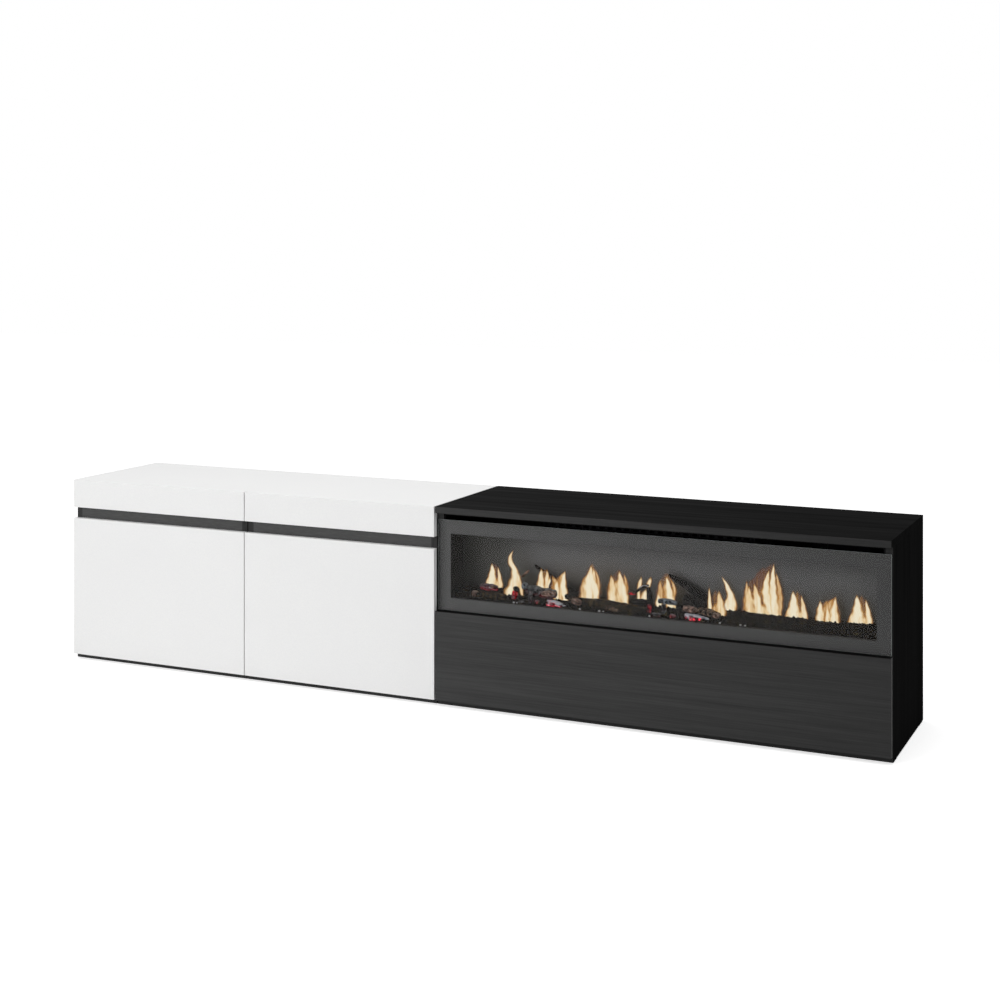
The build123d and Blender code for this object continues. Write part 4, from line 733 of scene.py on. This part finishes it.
# Each paint: the resin's two tones, its ash and its ember colour; then how rough and dusty it is, how
# bright it glows and how far the glow spreads.
PAINTS = {
    "red_bark": (charred_wood("charred_red_brown_bark_resin", "120B0C", "7C5056", "B09AA4", "C01E30"),
                 1.0, 0.4, 0.8, -0.05),
    "olive_bark": (charred_wood("charred_olive_bark_resin", "0F0C09", "54452F", "6A5E4A", "C2303A"),
                   1.0, 0.1, 0.0, 0.0),
    "brown_wood": (charred_wood("brown_wood_resin", "1C1612", "86705E", "94806F", "C2303A"),
                   0.8, 0.1, 0.0, 0.0),
    "tan_wood": (charred_wood("scorched_tan_wood_resin", "4E3C34", "B08E7E", "C8B4A8", "C2303A"),
                 0.7, 0.4, 0.0, 0.0),
    "grey_char": (charred_wood("charred_grey_wood_resin", "0B0B0C", "606364", "C4C6C8", "C01E30"),
                  1.0, 0.25, 0.2, 0.0),
    "blue_char": (charred_wood("charred_blue_grey_wood_resin", "14161A", "7E868E", "C0C6CE", "C01E30"),
                  0.7, 0.45, 0.0, 0.0),
    "dark_char": (charred_wood("dark_charred_branch_resin", "0F0E0D", "2A2522", "4E4843", "C2303A"),
                  0.7, 0.1, 0.0, 0.0),
    "ash_lump": (charred_wood("white_ash_resin", "7A7C86", "C4C8D4", "E2E5F0", "D43A44"),
                 0.5, 1.0, 0.0, 0.0),
    "ash_cover": (charred_wood("ash_covered_ember_resin", "301418", "8A4A54", "D5D9E4", "F8283E"),
                  0.7, 1.9, 2.4, 0.15),
    "ember": (charred_wood("glowing_ember_resin", "120809", "6E343A", "A8959A", "C41226"),
              0.7, 0.4, 1.3, 0.25),
}
for number, (name, (paint, *form)) in enumerate(LOGS.items()):
    finish, *wear = PAINTS[paint]
    skin = log_skin(*form, 10 * number, *wear)
    grids_to_mesh(name, [skin], "cabinet", finish)
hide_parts("fire_logs")


def bed_skin():
    """The ember bed as a loaf carried along x: its section climbs from the front edge to the crest by
    the screen and closes underneath, and the top is raised by crushed coals of two sizes."""
    low, high = np.array(bed_box) / MM
    x = np.linspace(low[0], high[0], 1000)
    section = np.array([(low[1], low[2] + 1), (low[1], low[2] + 12), (low[1] + 17, low[2] + 24),
                        (low[1] + 34, low[2] + 33), (high[1] - 14, low[2] + 35), (high[1], low[2] + 35),
                        (high[1], low[2] + 1)])
    steps = np.r_[0, np.cumsum(np.linalg.norm(np.diff(section, axis=0), axis=1))]
    place = np.linspace(0, steps[-1], 84)
    y = np.interp(place, steps, section[:, 0])
    z = np.interp(place, steps, section[:, 1])
    points = np.stack([x[:, None] + 0 * y, y + 0 * x[:, None], z + 0 * x[:, None]], axis=-1)
    top = np.clip((place - steps[1] + 4) / 6, 0, 1) * np.clip((steps[-2] + 1 - place) / 3, 0, 1)
    coal = np.abs(lumps(points, 16.0, 71, 3))
    crumb = np.abs(lumps(points, 6.0, 72, 2))
    rise = top * (6.0 * coal + 2.2 * crumb - 2.0)
    points[..., 2] += rise
    points[..., 1] -= 0.4 * rise * (place < steps[3])
    points[..., 2] -= 3.0 * top * np.clip(lumps(points, 160.0, 74, 1) + 0.6, 0, 1)
    ash = np.clip(1.2 * lumps(points, 24.0, 73, 4) - 0.7, 0, 0.6)
    return points, True, True, {"ash": ash, "glow": np.zeros_like(ash)}


# White crystals lie along the front edge of the bed: squashed balls with a broken, faceted skin.
crystal = coated("white_crystal_resin", {"Roughness": 0.25, "IOR": 1.5}, "C9C9CC", "F2F2F4", 3, 0.8, 0.3)
# Their places along x and their radii: they lie against the bed's front edge, 13 mm over its foot.
CRYSTALS = ((228, 3.0), (238, 2.0), (430, 3.0), (488, 3.0), (500, 2.0), (635, 2.5), (835, 3.0), (892, 3.0),
            (905, 2.5))
crystal_y = bed_box[0][1] / MM - 1
crystal_z = bed_box[0][2] / MM + 13


def ball(x, y, z, radius, seed):
    """A rough ball: the radius of a sphere, given by its height and turn, times a lumpy factor."""
    rise = np.linspace(-1.5, 1.5, 9)[:, None]
    turn = np.linspace(0, 2 * np.pi, 12, endpoint=False)[None, :]
    # A quarter of its height is pressed out of it.
    way = np.stack([np.cos(rise) * np.cos(turn), np.cos(rise) * np.sin(turn),
                    0.75 * np.sin(rise) + 0 * turn], axis=-1)
    swell = radius * (1 + 0.3 * lumps(way, 1.4, seed, 2))
    return np.array((x, y, z)) + way * swell[..., None], True, True, {}


balls = [ball(x, crystal_y, crystal_z, radius, 90 + number)
         for number, (x, radius) in enumerate(CRYSTALS)]
grids_to_mesh("bed_crystals", balls, "cabinet", crystal)

# Crushed coals of the bed: nearly black resin grit with an olive cast and a little dust.
coals = charred_wood("crushed_dark_coal_resin", "090706", "2C2417", "5C5338", "C2303A")
bed = grids_to_mesh("coal_bed", [bed_skin()], "cabinet", coals)
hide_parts("ember_bed")


# ---------------------------------------------------------------- studio

floor_mesh = bpy.data.meshes.new("studio_floor")
reach = 14
floor_mesh.from_pydata([(-reach, -reach, 0), (reach, -reach, 0), (reach, reach, 0), (-reach, reach, 0)],
                       [], [(0, 1, 2, 3)])
floor = bpy.data.objects.new("studio_floor", floor_mesh)
# Half a millimetre lower than the feet, so that no face lies in the floor's plane.
floor.location = (0, 0, -0.0005)
bpy.context.collection.objects.link(floor)


def seen_rays(tree):
    """1 for the rays that show the background: from the camera, off a mirror or through glass."""
    path = node(tree, "LightPath").outputs
    either = node(tree, "Math", {0: path["Is Camera Ray"], 1: path["Is Glossy Ray"]},
                  operation="MAXIMUM").outputs[0]
    return node(tree, "Math", {0: either, 1: path["Is Transmission Ray"]},
                operation="MAXIMUM").outputs[0]


# Plain white floor: bare floor shows white, and the shadow of the object stays on it.
floor_finish, tree, shader = material("plain_white_floor", {"Roughness": 0.9, "Specular IOR Level": 0.0})
shader.inputs["Base Color"].default_value = linear("E8E8E8")
lift = node(tree, "Math", {0: seen_rays(tree), 1: 0.64}, operation="MULTIPLY").outputs[0]
tree.links.new(lift, shader.inputs["Emission Strength"])
shader.inputs["Emission Color"].default_value = linear("FFFFFF")
floor_mesh.materials.append(floor_finish)

world = bpy.data.worlds.new("soft_white_studio")
scene.world = world
world.use_nodes = True
tree = world.node_tree
level = node(tree, "MapRange", {0: seen_rays(tree), 3: 0.46, 4: 1.0}).outputs[0]
tree.links.new(level, tree.nodes["Background"].inputs["Strength"])
tree.nodes["Background"].inputs["Color"].default_value = linear("FFFFFF")

# Each lamp: its name, its place, the point it aims at, its side in metres and its power in watts.
LAMPS = (
    ("soft_top_light", (0.0, -0.8, 4.6), (0.0, 0.0, 0.0), 4.5, 112.0),
    ("soft_front_left_light", (-5.2, -8.6, 3.4), (0.0, 0.0, 0.2), 4.5, 392.0),
)
for name, place, aim, size, power in LAMPS:
    lamp = bpy.data.lights.new(name, "AREA")
    lamp.size = size
    lamp.energy = power
    stand = bpy.data.objects.new(name, lamp)
    stand.location = place
    x, y, z = np.array(aim) - np.array(place)
    stand.rotation_euler = (np.arctan2(np.hypot(x, y), -z), 0.0, np.arctan2(x, -y) + np.pi)
    bpy.context.collection.objects.link(stand)
